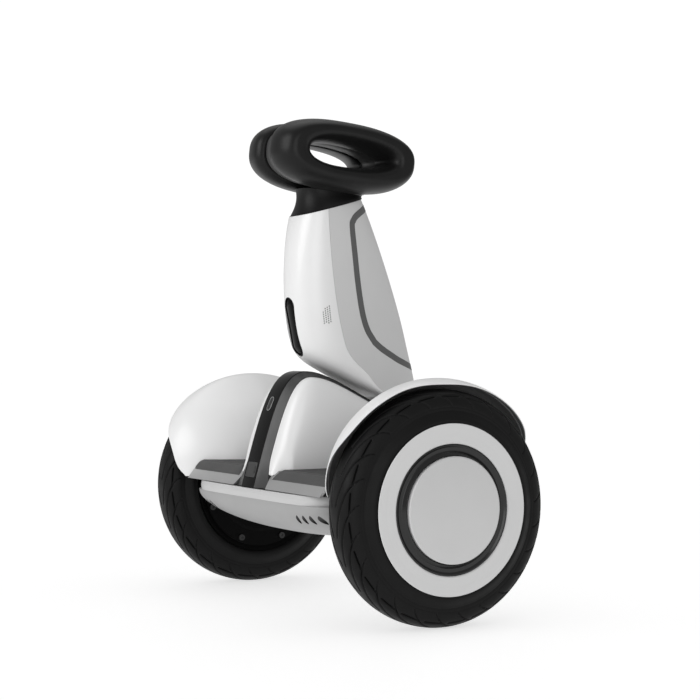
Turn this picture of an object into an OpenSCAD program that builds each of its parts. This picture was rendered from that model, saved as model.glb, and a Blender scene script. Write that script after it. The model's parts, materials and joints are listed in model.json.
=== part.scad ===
// Two-wheeled self-balancing transporter with a padded knee steering bar.
// X runs along the wheel axle, +Y is forward, +Z is up, and the origin lies on
// the floor under the middle of the axle.

/* [Wheels] */
// Outer diameter of each tyre
tyre_d = 270; // [266:1:272]
// Distance from the middle plane to a wheel's middle plane
track_half = 235; // [234:0.5:236]
// Widest half width of a tyre, beside the hub ring
tyre_half_w = 30.5; // [29:0.5:31]
// Diameter of the wheel axle
axle_d = 17; // [14:1:17]
// Radial running clearance of the bearings on their shafts
running_fit = 0.04; // [0.02:0.01:0.08]

/* [Deck] */
// Height of the top of the foot mats
deck_z = 171; // [170:0.5:172]
// Height of the seam between the deck trim and the bumper
seam_z = 147.5; // [147:0.5:148]
// Half length of the deck, front to back, at the middle
deck_half_l = 125; // [123:1:127]
// Lowest point of the lower hull
belly_z = 87.5; // [86:0.5:90]

/* [Arch] */
// Height of the top of the spine band
arch_top_z = 288; // [286:1:289]
// Width of the glossy spine band
band_w = 32; // [28:1:34]
// Half width of the arch where it meets the deck
arch_half_w = 55; // [54:1:58]

/* [Steering bar] */
// Half width of the steering bar at its side crease
bar_half_w = 38; // [36:1:39]
// Height of the lean pivot's axis
pivot_z = 186; // [185:1:188]
// Thickness of the moulded covers
wall = 3; // [2.5:0.5:3]

/* [Knee pads] */
// Height of the middle of the knee pads
pad_z = 552.5; // [550:0.5:554]
// Downward tilt of the pads toward the front, in degrees
pad_tilt = 6.1; // [4:0.1:8]
// Distance from the middle plane to the pads' outer face at the front
pad_spread = 69; // [66:0.5:74]

/* [Hidden] */
$fn = 96;

tyre_r = tyre_d / 2;
axle_z = tyre_r;
axle_r = axle_d / 2;
gap = 0.3;                  // clearance between neighbouring solids
hub_face = 32.4;            // hub ring's outer face, from the wheel's middle plane
rim_r = 92;                 // bead seat radius of the rim
hull_half_w = 174;          // half width of the hull at the seam
bumper_z = 135;             // crease between the bumper and the lower hull
boss_r = 20;                // outer radius of the chassis's axle bosses
fender_in = 142;            // inner wall of a fender, from the middle plane
fender_mid = 230;           // crown of a fender, from the middle plane
fender_half_l = 136.8;      // half length it would have if it closed over the tyre
fender_wide_z = 160;        // height at which a fender is longest
fender_up = 122.6;          // rise of the crown above that height
fender_down = 140;          // depth to which the lower half would close
fender_out = 60;            // outboard half width
fender_low = 148.6;         // lower edge
fender_wall = 1.8;
plan_e = 2.91;              // superellipse exponents of a fender's plan and upright section
rise_e = 2.02;
plan_in_e = 1.84;           // and of its inboard half, which leans away from the deck
rise_in_e = 1;
pivot_bearing_r = 18.5;
pivot_shaft_r = 10;
bar_y0 = 74;                // rear face of the steering bar's base
bar_y1 = 119;               // front face of the steering bar's base
base_r = 36;                // radius of the bar's rounded foot about the pivot

// ---------- points and surfaces ----------

function flat(rows) = [for (row = rows) for (p = row) p];
function mix(a, b, t) = a * (1 - t) + b * t;
function bezier(p, t) =
    p[0] * pow(1 - t, 3) + 3 * p[1] * t * pow(1 - t, 2) + 3 * p[2] * t * t * (1 - t) + p[3] * pow(t, 3);
function spow(v, e) = sign(v) * pow(abs(v), e);
function unit(v) = v / norm(v);
// height left on a superellipse of exponent e at the fraction u of its half width
function bulge(u, e) = pow(max(0, 1 - pow(min(1, abs(u)), e)), 1 / e);
function smooth(t) = let (u = max(0, min(1, t))) u * u * (3 - 2 * u);

function quads(r, c, n, base, flip) = [
    for (i = [0:r - 2]) for (j = [0:c - 1])
        let (k = (j + 1) % n, a = base + i * n + j, b = base + i * n + k,
             d = base + (i + 1) * n + j, e = base + (i + 1) * n + k)
        each flip ? [[a, e, b], [a, d, e]] : [[a, b, e], [a, e, d]]
];

// Solid between two grids of points, closed along all four edges.
module shell_between(outer, inner, flip = false) {
    r = len(outer);
    c = len(outer[0]);
    n = r * c;
    edge = concat(
        [for (j = [0:c - 2]) [j, j + 1]],
        [for (i = [0:r - 2]) [i * c + c - 1, (i + 1) * c + c - 1]],
        [for (j = [c - 1:-1:1]) [(r - 1) * c + j, (r - 1) * c + j - 1]],
        [for (i = [r - 1:-1:1]) [i * c, (i - 1) * c]]);
    polyhedron(concat(flat(outer), flat(inner)), concat(
        quads(r, c - 1, c, 0, flip),
        quads(r, c - 1, c, n, !flip),
        [for (e = edge) each flip
            ? [[e[0], e[1], n + e[1]], [e[0], n + e[1], n + e[0]]]
            : [[e[1], e[0], n + e[0]], [e[1], n + e[0], n + e[1]]]]));
}

// Solid through a row of closed rings, capped at both ends.
module skin(rings, flip = false) {
    r = len(rings);
    n = len(rings[0]);
    first = [for (j = [0:n - 1]) j];
    last = [for (j = [0:n - 1]) (r - 1) * n + j];
    rev = function(v) [for (j = [len(v) - 1:-1:0]) v[j]];
    polyhedron(flat(rings), concat(quads(r, n, n, 0, flip),
        flip ? [first, rev(last)] : [rev(first), last]));
}

// Ring-shaped solid: the last ring joins the first.
module loop_skin(rings, flip = false) {
    r = len(rings);
    n = len(rings[0]);
    polyhedron(flat(rings), [
        for (i = [0:r - 1]) for (j = [0:n - 1])
            let (k = (j + 1) % n, m = (i + 1) % r,
                 a = i * n + j, b = i * n + k, d = m * n + j, e = m * n + k)
            each flip ? [[a, e, b], [a, d, e]] : [[a, b, e], [a, e, d]]
    ]);
}

module right_side() { children(); }
module left_side() { mirror([1, 0, 0]) children(); }

// Cylinder along X from x0 to x1, at the height of the wheel axle.
module along_axle(x0, x1, r) {
    translate([x0, 0, axle_z]) rotate([0, 90, 0]) cylinder(h = x1 - x0, r = r);
}
// Cylinder along Y from y0 to y1, at the height of the lean pivot.
module along_pivot(y0, y1, r) {
    translate([0, y1, pivot_z]) rotate([90, 0, 0]) cylinder(h = y1 - y0, r = r);
}
// Solid of revolution about the wheel axle; outline points are [radius, offset from the wheel's plane].
module turned(outline) {
    translate([track_half, 0, axle_z]) rotate([0, 90, 0]) rotate_extrude() polygon(outline);
}

// ---------- wheels ----------

// outer outline of the tyre: a rounded crown over a sidewall that widens toward the hub
crown_half_w = 25.4;
crown_r = 112;
function tyre_outer() = concat(
    [[rim_r + 0.2, -tyre_half_w + 3], [97.3, -tyre_half_w], [100, -tyre_half_w]],
    [for (i = [0:20]) let (u = -1 + i / 10)
        [crown_r + (tyre_r - crown_r) * bulge(u, 2.63), u * crown_half_w]],
    [[100, tyre_half_w], [97.3, tyre_half_w], [rim_r + 0.2, tyre_half_w - 3]]);
function tyre_inner() = concat(
    [[rim_r + 0.2, tyre_half_w - 10], [100, tyre_half_w - 7]],
    [for (i = [0:10]) let (u = 1 - i / 5)
        [crown_r + (tyre_r - 10 - crown_r) * bulge(u, 2.4), u * (crown_half_w - 5)]],
    [[100, -tyre_half_w + 7], [rim_r + 0.2, -tyre_half_w + 10]]);

module tyre() color("#26272a") turned(concat(tyre_outer(), tyre_inner()));

module wheel_rim() color("#1d1e20") difference() {
    turned([[72, -27], [86, -27], [rim_r, -29], [rim_r, -20.8], [87, -17], [87, 17], [rim_r, 20.8],
            [rim_r, 27], [86, 29], [60, 27], [20, 24], [17.6, 24], [17.6, 14], [24, 14], [60, 21], [72, 21]]);
    for (i = [0:7]) rotate_about_axle(i * 45 + 22.5) translate([0, 0, 79])
        along_axle(track_half - 30, track_half - 15, 2.4);
}

module rotate_about_axle(a) translate([0, 0, axle_z]) rotate([a, 0, 0]) translate([0, 0, -axle_z]) children();

module magnet_ring() color("#8f9296") for (i = [0:29])
    rotate_about_axle(i * 12) translate([track_half - 14, -6, axle_z + 66]) cube([28, 12, 5.2]);

module motor_cover() color("#17181a") difference() {
    turned([[17.6, -17], [24, -17], [40, -24], [71.6, -24], [71.6, -27.3], [85, -27.3], [85, -30],
            [66, -30], [62, -31.5], [50, -31.5], [44, -29], [30, -29], [26, -27], [17.6, -27]]);
    for (i = [0:7]) rotate_about_axle(i * 45 + 22.5) translate([0, 0, 79])
        along_axle(track_half - 40, track_half - 20, 2.4);
}

module motor_screws() color("#5b5e63") for (i = [0:7]) rotate_about_axle(i * 45 + 22.5) translate([0, 0, 79]) {
    along_axle(track_half - 27.1, track_half - 18, 2.2);
    difference() {
        along_axle(track_half - 32.4, track_half - 30.05, 4);
        translate([track_half - 33, 0, axle_z]) rotate([0, 90, 0]) cylinder(h = 1.8, r = 2, $fn = 6);
    }
}

module wheel_bearings() color("#b9bcc2")
    turned_pair([[axle_r + running_fit, 0], [17.5, 0], [17.5, 9], [axle_r + running_fit, 9]]);
module turned_pair(outline) {
    turned([for (p = outline) [p[0], p[1] - 26.5]]);
    turned([for (p = outline) [p[0], p[1] + 14.5]]);
}

module hub_ring() color("#f1f2f2") turned([
    [74.2, 29.3], [92.6, 29.3], [96.6, 31], [97.1, 31.6], [96.6, hub_face],
    [75.5, hub_face], [74.2, 31.4]]);

module hub_groove() color("#6d7074") turned([
    [61.2, 27.6], [73.9, 29.3], [73.9, 31.2], [72, 31.2], [70.5, 29.9], [64, 30.6], [62, 33.6], [61.2, 33.6]]);

cap_r = 60.4;
module hub_cap() color("#e9eaea") turned(concat(
    [[0, 27.4], [cap_r - 0.6, 27.8], [cap_r, 28.6], [cap_r, 36.6]],
    [for (i = [0:8]) let (u = 1 - i / 8) [(cap_r - 0.8) * u, 37.3 + 1.7 * (1 - u * u)]]));

module tyre_valve() color("#101112") {
    rotate_about_axle(68) translate([0, 0, 88.6]) {
        along_axle(track_half - 36, track_half - 30.2, 3);
        along_axle(track_half - 44, track_half - 35.99, 2.4);
    }
}

// ---------- hub motors' fixed half ----------

module axle() color("#9a9da2") difference() {
    union() {
        along_axle(112, track_half + 24, axle_r);
        along_axle(198, 205, 14);
    }
    along_axle(100, 150, 3);
}

// laminated stack: one tooth's outline, [radius, offset], repeated round the hub
stator_teeth = 27;
tooth = [[46, -3], [60, -3], [60, -6], [64.2, -6], [64.2, 6], [60, 6], [60, 3], [46, 3]];
module stator() color("#a3542c") difference() {
    translate([track_half - 12, 0, axle_z]) rotate([0, 90, 0]) linear_extrude(24) polygon([
        for (i = [0:stator_teeth - 1]) let (a = i * 360 / stator_teeth)
            for (q = tooth) [q[0] * cos(a) - q[1] * sin(a), q[0] * sin(a) + q[1] * cos(a)]]);
    along_axle(track_half - 20, track_half + 20, axle_r + 0.02);
    for (i = [0:5]) rotate_about_axle(i * 60) translate([0, 0, 26])
        along_axle(track_half - 20, track_half + 20, 8);
}

// ---------- chassis ----------

module chassis_frame() color("#5d6064") difference() {
    union() {
        translate([-132, -98, 158]) cube([264, 160, 5]);
        for (s = [-1, 1]) {
            translate([s * 46 - 3, -98, 122]) cube([6, 160, 37]);
            translate([s * 100 - 3, -80, 128]) cube([6, 142, 31]);
            translate([s * 66 - 20, 61, 158]) cube([40, 38, 5]);
            translate([s * 113.5 - 17.5, -11, 128]) cube([35, 22, 31]);
        }
        along_axle(96, 196, boss_r);
        along_axle(-196, -96, boss_r);
        for (p = hull_screws) translate([p[0], p[1], 101.7]) cylinder(h = 57, r = 5);
        translate([-49, -60, 124]) cube([98, 8, 35]);
        translate([-49, 36, 124]) cube([98, 8, 35]);
        along_pivot(16, 68, 23);
        translate([-23, 16, 158]) cube([46, 52, 28]);
    }
    along_axle(90, 200, axle_r + 0.02);
    along_axle(-200, -90, axle_r + 0.02);
    along_pivot(10, 30, pivot_bearing_r + 0.01);
    along_pivot(54, 70, pivot_bearing_r + 0.01);
    along_pivot(29, 55, 15.5);
}

module foot_switches() color("#2b2f36") for (s = [-1, 1]) for (y = [-55, 40])
    translate([s * 98, y, 163.05]) cylinder(h = 2.7, r = 15);

module control_board() color("#1e5f3a") {
    translate([-40, -50, 149]) cube([80, 84, 1.6]);
    for (i = [0:3]) translate([-34 + i * 18, -44, 150.55]) cube([12, 16, 5]);
    translate([-34, 4, 150.55]) cube([30, 20, 6]);
    translate([10, -4, 150.55]) cylinder(h = 6.5, r = 6);
    translate([26, -4, 150.55]) cylinder(h = 6.5, r = 6);
}

module battery_pack() color("#3a5e8c") difference() {
    translate([-86, -46, 97]) cube([172, 78, 24]);
    for (x = [-87, 79]) translate([x, -47, 118]) cube([8, 8, 4]);
}

// hull: a boat shape whose plan and depth follow superellipses
function hull_len(x) = (deck_half_l - 5 * pow(abs(x) / 165, 2)) * bulge(x / (hull_half_w + 2), 9);
function hull_depth(x) = (bumper_z - belly_z) * bulge(x / hull_half_w, 2.6);
hull_steps = 9;
hull_x = [for (i = [-hull_steps:hull_steps]) hull_half_w * spow(i / hull_steps, 0.8)];
function hull_grid(inset, reach) = [for (x = hull_x)
    let (l = hull_len(x) - inset, d = max(2, hull_depth(x) - inset))
    [for (j = [0:16]) let (a = 180 * j / 16)
        [x * reach, -l * spow(cos(a), 0.86), bumper_z - gap - d * spow(sin(a), 0.86)]]];

module lower_hull() color("#d9dadb") difference() {
    shell_between(hull_grid(0, 1), hull_grid(wall, 0.985), true);
    axle_cutouts();
    for (s = [-1, 1]) for (i = [0:4]) translate([s * (slot_x + i * slot_pitch), -100, slot_z])
        rotate([25, -s * 6, 0]) translate([-1.8, -60, -5]) cube([3.6, 100, 10]);
    for (p = hull_screws) translate([p[0], p[1], 60]) cylinder(h = 41, r = 2.6);
}
module axle_cutouts() {
    along_axle(120, 220, boss_r + gap);
    along_axle(-220, -120, boss_r + gap);
}
slot_x = 114;               // innermost cooling slot
slot_pitch = 12.5;
slot_z = 117;
hull_screws = [for (x = [-70, 70]) for (y = [-60, 60]) [x, y]];

module battery_cover_screws() color("#5b5e63") for (p = hull_screws)
    translate([p[0], p[1], belly_z + 7]) difference() {
        cylinder(h = 7, r = 2.3);
        translate([0, 0, -1]) cylinder(h = 2.6, r = 1.3, $fn = 6);
    }

// closed plan curve of the bumper
function bumper_ring(z, inset) = [for (i = [0:59]) let (a = i * 6)
    [(hull_half_w + 0.5 - inset) * spow(cos(a), 0.3),
     (deck_half_l - inset) * spow(sin(a), 0.3) * (1 - 0.05 * pow(cos(a), 2)), z]];
module bumper_rim() color("#e4e5e5") difference() {
    loop_skin([
        bumper_ring(bumper_z, 0), bumper_ring((bumper_z + seam_z) / 2, -0.6),
        bumper_ring(seam_z - gap, 0.4), bumper_ring(seam_z - gap, 4), bumper_ring(bumper_z, 4)], true);
    axle_cutouts();
}

// plan outline of a fender at its widest, grown by the given clearance
module fender_plan(grow) polygon([for (a = [0:6:354]) let (e = cos(a) < 0 ? plan_in_e : plan_e)
    [fender_mid + ((cos(a) < 0 ? fender_mid - fender_in : fender_out) + grow) * spow(cos(a), 2 / e),
     (fender_half_l + grow) * spow(sin(a), 2 / e)]]);
module fender_cutouts(grow) for (s = [-1, 1]) scale([s, 1, 1]) translate([0, 0, 140])
    linear_extrude(60) fender_plan(grow);

// deck cover: flat top under the mats, sloping faces down to the seam at front and rear
cover_half_w = 178;
module deck_cover() color("#b5b7b9") difference() {
    translate([-cover_half_w, 0, 0]) rotate([90, 0, 90]) linear_extrude(2 * cover_half_w) polygon([
        [-121.5, seam_z], [-112.5, 159], [-104, 167.4], [-101, 168], [101, 168], [104, 167.4],
        [112.5, 159], [121.5, seam_z], [118, seam_z], [109.5, 158], [103, 164.6], [99, 166],
        [-99, 166], [-103, 164.6], [-109.5, 158], [-118, seam_z]]);
    fender_cutouts(1);
    translate([-41, 62, 140]) cube([82, 80, 40]);
    translate([0, 62.5, 0]) rotate([90, 0, 0]) linear_extrude(200) polygon(concat(
        [for (z = [140:5:180]) [bevel_half(z) + 1.4, z]], [for (z = [180:-5:140]) [-bevel_half(z) - 1.4, z]]));
}

// foot mat: ribbed rubber from the arch to the fender, bent down over the front and rear edges
module foot_mat() color("#3c3e41") difference() {
    translate([arch_half_w + 0.6, 0, 0]) rotate([90, 0, 90]) linear_extrude(112) polygon([
        [-113.4, 159.2], [-106, 168.2], [-101.5, deck_z], [101.5, deck_z], [106, 168.2], [113.4, 159.2],
        [112.4, 159.6], [104.2, 167.7], [101.2, 168.15], [-101.2, 168.15], [-104.2, 167.7], [-112.4, 159.6]]);
    fender_cutouts(1.5);
}

// ---------- fenders ----------

// One point of the fender's superellipsoid, at the plan angle az and the height angle el.
function fender_point(az, el, inset) =
    let (inboard = cos(az) < 0, e = inboard ? plan_in_e : plan_e, up = spow(sin(el), 2 / rise_e))
    [fender_mid + spow(cos(el), 2 / (inboard ? rise_in_e : rise_e)) * spow(cos(az), 2 / e)
         * ((inboard ? fender_mid - fender_in : fender_out) - inset),
     spow(cos(el), 2 / rise_e) * spow(sin(az), 2 / e) * (fender_half_l - inset),
     fender_wide_z + up * ((up < 0 ? fender_down : fender_up) - inset)];
module fender_blank(inset) skin([for (el = [-84:7:84])
    [for (az = [0:10:350]) fender_point(az, el, inset)]], true);

// region inboard of the lip line, seen along Y
lip_line = [[191, fender_low], [199, 159], [204, 169], [208.5, 179], [216, 191], [228.5, 206],
            [240.5, 224], [246.5, 245], [249, 261], [249.4, 272]];
module fender_region(low, back) translate([0, 150, 0]) rotate([90, 0, 0]) linear_extrude(300) polygon(concat(
    [[120, low], [lip_line[0][0] - back, low]], [for (p = lip_line) if (p[1] > low) [p[0] - back, p[1]]],
    [[252 - back, 290], [120, 290]]));

module fender() color("#eceded") intersection() {
    difference() {
        fender_blank(0);
        fender_blank(fender_wall);
        along_axle(120, 200, boss_r + gap);
    }
    fender_region(fender_low, 0);
}
liner_w = 1.4;
module fender_liner() color("#4a4c50") intersection() {
    difference() {
        fender_blank(fender_wall + gap);
        fender_blank(fender_wall + gap + liner_w);
    }
    fender_region(seam_z + 16, 13);
}

// ---------- arch ----------

arch_rear = [[-124, seam_z], [-98, 240], [-84, arch_top_z + 1], [-50, arch_top_z]];
arch_front = [[-50, arch_top_z], [-24, arch_top_z - 1], [0, 272], [64, 239.5]];
arch_end = [[64, 239.5], [72, 235.5], [78, 226], [78, 171]];
function arch_at(t) =
    t < 1 ? bezier(arch_rear, t) : t < 2 ? bezier(arch_front, t - 1) : bezier(arch_end, t - 2);
function arch_normal(t) = let (d = arch_at(min(3, t + 0.01)) - arch_at(max(0, t - 0.01))) unit([-d[1], d[0]]);
function arch_off(t, depth) = arch_at(t) - arch_normal(t) * depth;
arch_t = [for (i = [0:26]) 2 * i / 26];

function band_row(t, depth) = let (p = arch_off(t, depth))
    [for (s = [-1, -0.5, 0, 0.5, 1]) [s * band_w / 2, p[0], max(seam_z, p[1])]];

module spine_band() color("#111214") difference() {
    shell_between([for (t = arch_t) band_row(t, 0)], [for (t = arch_t) band_row(t, 3)], true);
    on_arch(button_t) capsule(button_w + 2 * gap, button_l + 2 * gap, -8, 4);
    on_arch(cover_t) translate([-12.8, -10, -8]) cube([25.6, 19.8, 12]);
}

// bevel strip beside the band, flaring out at its foot
function bevel_half(z) = band_w / 2 + 12 + 14 * pow(max(0, (184 - z) / 37), 1.5);
function bevel_row(t, s, depth) = let (a = arch_off(t, 0.8 + depth), b = arch_off(t, 7 + depth))
    [[s * (band_w / 2 + gap), a[0], max(seam_z, a[1])],
     [s * mix(band_w / 2, bevel_half(b[1]), 0.5), mix(a[0], b[0], 0.4), max(seam_z, mix(a[1], b[1], 0.4))],
     [s * bevel_half(b[1]), b[0], max(seam_z, b[1])]];
module spine_bevel() color("#9b9ea2") for (s = [-1, 1])
    shell_between([for (t = arch_t) bevel_row(t, s, 0)], [for (t = arch_t) bevel_row(t, s, 2.5)], s > 0);

// side panel: the arch outline shrinks toward the deck as it goes outward, and stands on the deck cover
function deck_floor(y) = deck_z - 2.6 - max(0, abs(y) - 103.6);
function panel_row(t, s, inset) = [for (i = [0:8]) let (u = pow(i / 8, 0.8), b = arch_off(t, 7.2),
        x0 = bevel_half(b[1]) + gap + inset,
        x1 = arch_half_w - 11 * smooth((-b[0] - 98) / 17) - inset,
        kz = bulge(u, 2.7), ky = 1 - 0.1 * pow(u, 3),
        y = b[0] * ky + inset * 0.9 * (b[0] < -40 ? 1 : b[0] > 60 ? -1 : 0), z = deck_floor(y))
    [s * mix(x0, x1, u), y, z + max(0, (b[1] - z - inset) * kz)]];
panel_t = [for (i = [0:32]) 0.07 + 2.93 * i / 32];
module arch_panel() color("#e8e9e9")
    shell_between([for (t = panel_t) panel_row(t, 1, 0)], [for (t = panel_t) panel_row(t, 1, 2.4)], true);

// places a piece on the spine band: local +Z along the outward normal, local +Y up the band
button_t = 0.47;
button_w = 8;
button_l = 16;
cover_t = 0.08;
module on_arch(t) {
    p = arch_at(t);
    n = arch_normal(t);
    translate([0, p[0], p[1]]) rotate([atan2(-n[0], n[1]), 0, 0]) children();
}
module capsule(w, l, z0, z1) translate([0, 0, z0]) hull() for (s = [-1, 1])
    translate([0, s * (l - w) / 2, 0]) cylinder(h = z1 - z0, r = w / 2, $fn = 32);

module power_button() color("#2c2d30") on_arch(button_t) capsule(button_w, button_l, -6, 0.6);

module charge_cover() color("#2f3134") on_arch(cover_t) {
    translate([-12.4, -8.2, -2.2]) cube([24.8, 17.6, 2.4]);
    translate([-12.4, -8.2, -1]) rotate([0, 90, 0]) cylinder(h = 24.8, r = 1.2);
}

module charge_socket() color("#1b1c1e") on_arch(cover_t) difference() {
    translate([0, 1, -18]) cylinder(h = 14.5, r = 8.6);
    translate([0, 1, -16]) cylinder(h = 18, r = 6);
}

// ---------- lean pivot ----------

module pivot_bearings() color("#b9bcc2") for (y = [19, 56]) difference() {
    along_pivot(y, y + 9, pivot_bearing_r);
    along_pivot(y - 1, y + 10, pivot_shaft_r + running_fit);
}
module pivot_shaft() color("#8e9196") along_pivot(14, 84, pivot_shaft_r);
module pivot_collar() color("#6f7276") difference() {
    along_pivot(6, 13.8, 14);
    along_pivot(3, 9, 4);
}

spring_r = 13;
spring_turns = 4;
function spring_ring(a) = [for (j = [0:7])
    let (r = spring_r + 1.6 * cos(45 * j), y = 33.5 + 17.5 * a / (360 * spring_turns) + 1.6 * sin(45 * j))
    [r * sin(a), y, pivot_z + r * cos(a)]];
module centring_spring() color("#7d8085")
    skin([for (a = [0:20:360 * spring_turns]) spring_ring(a)]);

// ---------- steering bar ----------

// rear and front outlines in the middle plane, from the neck joint (u = 0) down to the foot (u = 5)
bar_rear = [
    [[-59.4, 479], [-70, 440], [-73, 360], [-58, 320]],
    [[-58, 320], [-52, 304], [-36, 296], [-12, 284.6]],
    [[-12, 284.6], [9, 274.6], [31, 264.5], [52, 255]],
    [[52, 255], [66, 248], [bar_y0, 232], [bar_y0, pivot_z]]];
bar_front = [
    [[31.6, 503.5], [52, 464], [86, 376], [98, 326]],
    [[98, 326], [102, 310], [106, 295], [109, 281]],
    [[109, 281], [111, 271], [113, 261], [115, 251]],
    [[115, 251], [119, 235], [bar_y1, 210], [bar_y1, pivot_z]]];
function foot(y, u, shrink) = [y + shrink * (1 - cos(75 * u)), pivot_z - base_r * sin(75 * u)];
function bar_at(side, u) = let (i = min(3, floor(u)))
    u > 4 ? foot(side == 0 ? bar_y0 : bar_y1, u - 4, side == 0 ? 4 : -14)
        : bezier(side == 0 ? bar_rear[i] : bar_front[i], u - i);
function bar_half(u) = u > 4 ? bar_half_w * cos(75 * (u - 4)) : bar_half_w - 2 * pow(max(0, 1 - 2.5 * u), 2);
// the crease between the covers, as a fraction of the way from rear to front
function crease(u) = 0.32 - 0.2 * smooth((u - 1.8) / 1.2);
// s = -1 draws the rear arc and s = 1 the front one; a runs from the right crease to the left one
function bar_point(u, s, a, inset) =
    let (r = bar_at(0, u), f = bar_at(1, u), d = unit(f - r), l = norm(f - r), c = crease(u) * l,
         w = bar_half(u) - inset, depth = s < 0 ? c - inset : l - c - inset,
         q = r + d * (c + s * (gap / 2 + depth * spow(sin(a), 2 / 2.2))))
    [w * spow(cos(a), 2 / 2.2), q[0], q[1]];
function bar_grid(s, inset) = [for (u = concat([for (i = [0:20]) i / 5], [4.25, 4.5, 4.75, 5]))
    [for (a = [0:15:180]) bar_point(u, s, a, inset)]];

module bar_rear_cover() color("#f0f1f1") difference() {
    shell_between(bar_grid(-1, 0), bar_grid(-1, wall), true);
    lamp_prism(lamp_half_w);
    pivot_opening();
}
module bar_front_cover() color("#d4d6d7") difference() {
    shell_between(bar_grid(1, 0), bar_grid(1, wall));
    bar_trim(0.2);
}
module pivot_opening() along_pivot(60, 84, 21);

// capsule-shaped prism through the rear cover, for the tail lamp
lamp_half_w = 12;
module lamp_prism(r) translate([0, -30, 0]) rotate([90, 0, 0]) hull() {
    translate([0, 318, 0]) cylinder(h = 70, r = r, $fn = 32);
    translate([0, 367, 0]) cylinder(h = 70, r = r, $fn = 32);
}
module lamp_lens() color("#08090a") intersection() {
    lamp_prism(lamp_half_w - gap);
    shell_between([for (u = [0.4:0.15:1.75]) [for (a = [60:10:120]) bar_point(u, -1, a, 1.4)]],
        [for (u = [0.4:0.15:1.75]) [for (a = [60:10:120]) bar_point(u, -1, a, 3.4)]], true);
}
module lamp_board() color("#1e5f3a") translate([-8, -53, 322]) cube([16, 1.6, 44]);
module speaker() color("#222326") translate([24, -22, 355]) rotate([0, 90, 0]) cylinder(h = 5, r = 11);

// trim inlay: a closed loop on the front cover, as [outline position, angle] stations on one flank
trim_side = [[0.07, 90], [0.08, 70], [0.095, 52], [0.12, 36], [0.15, 28.5], [0.2, 24.3], [0.42, 20.5],
    [0.6, 18.2], [0.78, 17.2], [0.9, 18.4], [1, 22], [1.18, 27], [1.36, 34], [1.55, 44], [1.7, 62],
    [1.77, 90]];
trim_half_w = 4.2;
trim_path = concat(trim_side,
    [for (i = [len(trim_side) - 2:-1:1]) [trim_side[i][0], 180 - trim_side[i][1]]]);
function trim_ring(i, grow) =
    let (n = len(trim_path), q = trim_path[i], before = trim_path[(i + n - 1) % n],
         after = trim_path[(i + 1) % n],
         on = function(v, out) bar_point(v[0], 1, v[1], -out),
         along = unit(on(after, 0) - on(before, 0)),
         out = unit(cross(bar_point(q[0] + 0.02, 1, q[1], 0) - on(q, 0),
                          bar_point(q[0], 1, q[1] + 2, 0) - on(q, 0))),
         side = cross(along, out), p = on(q, 0))
    [for (q = [[1, -1 - grow], [1, 0.5 + grow], [-1, 0.5 + grow], [-1, -1 - grow]])
        p + side * (trim_half_w + grow) * q[0] + out * q[1]];
module bar_trim(grow = 0) color("#6f7174") loop_skin([for (i = [0:len(trim_path) - 1]) trim_ring(i, grow)]);

core_top = 503;
module bar_core() color("#8b8e92") difference() {
    translate([-13, 0, 0]) rotate([90, 0, 90]) linear_extrude(26) polygon([
        [84, pivot_z - 24], [110, pivot_z - 20], [110, 232], [86, 300], [22, 496], [20, core_top],
        [-24, core_top], [-24, 490], [60, 300], [82, 240], [84, 215]]);
    along_pivot(80, 120, 5);
    for (i = [0:3]) translate([-20, 50 - 20.5 * i, 345 + 42 * i]) rotate([0, 90, 0]) cylinder(h = 40, r = 8);
}

// neck: from the oblique joint up to the head, drawn in to a waist, with a saddle for the pads on top
function neck_ring(t) =
    let (rear = bezier([[-59.4, 479], [-51, 492], [-50, 502], [-53, 513.2]], t),
         front = bezier([[31.6, 503.5], [30.5, 504.5], [31, 506], [33, 506.5]], t), w = 36 - 5 * smooth(t))
    [for (a = [0:15:345]) let (s = 0.5 - 0.5 * spow(cos(a), 2 / 2.3))
        [w * spow(sin(a), 2 / 2.3), mix(rear[0], front[0], s), mix(rear[1], front[1], s) + 0.4]];
module neck_cover() color("#1b1c1e") difference() {
    skin([for (t = [0:0.2:1]) neck_ring(t)], true);
    translate([-13.4, -24.4, 470]) cube([26.8, 46.8, 60]);
    translate([0, head_y, pad_z]) rotate([-pad_tilt, 0, 0]) rotate([90, 0, 90]) translate([0, 0, -60])
        linear_extrude(120) offset(delta = gap) polygon([for (t = [0:5:355]) head_outline(t)]);
}

// ---------- head ----------

// Each pad is a ring. At the angle t, 0 at the front end and 90 at the top, its section lies between the
// outlines of the hand hole (u = 0) and of the head (u = 1), both superellipses in the head's tilted plane.
head_y = -13;
function outline(t, front, rear, top, bottom, e) =
    [(cos(t) > 0 ? front : rear) * spow(cos(t), 2 / e), (sin(t) > 0 ? top : bottom) * spow(sin(t), 2 / e)];
function head_outline(t) = outline(t, 94.8, 90, 42.4, 43.4, 2.58);
function hole_outline(t) = outline(t, 64, 40, 13.2, 14.2, 2.12) + [-6, 1.3];
function head_inner(y) = mix(9.5, 18.8, (y + 90) / 180);
function head_outer(y) = mix(pad_spread - 11.5, pad_spread, (y + 90) / 180);
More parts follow.
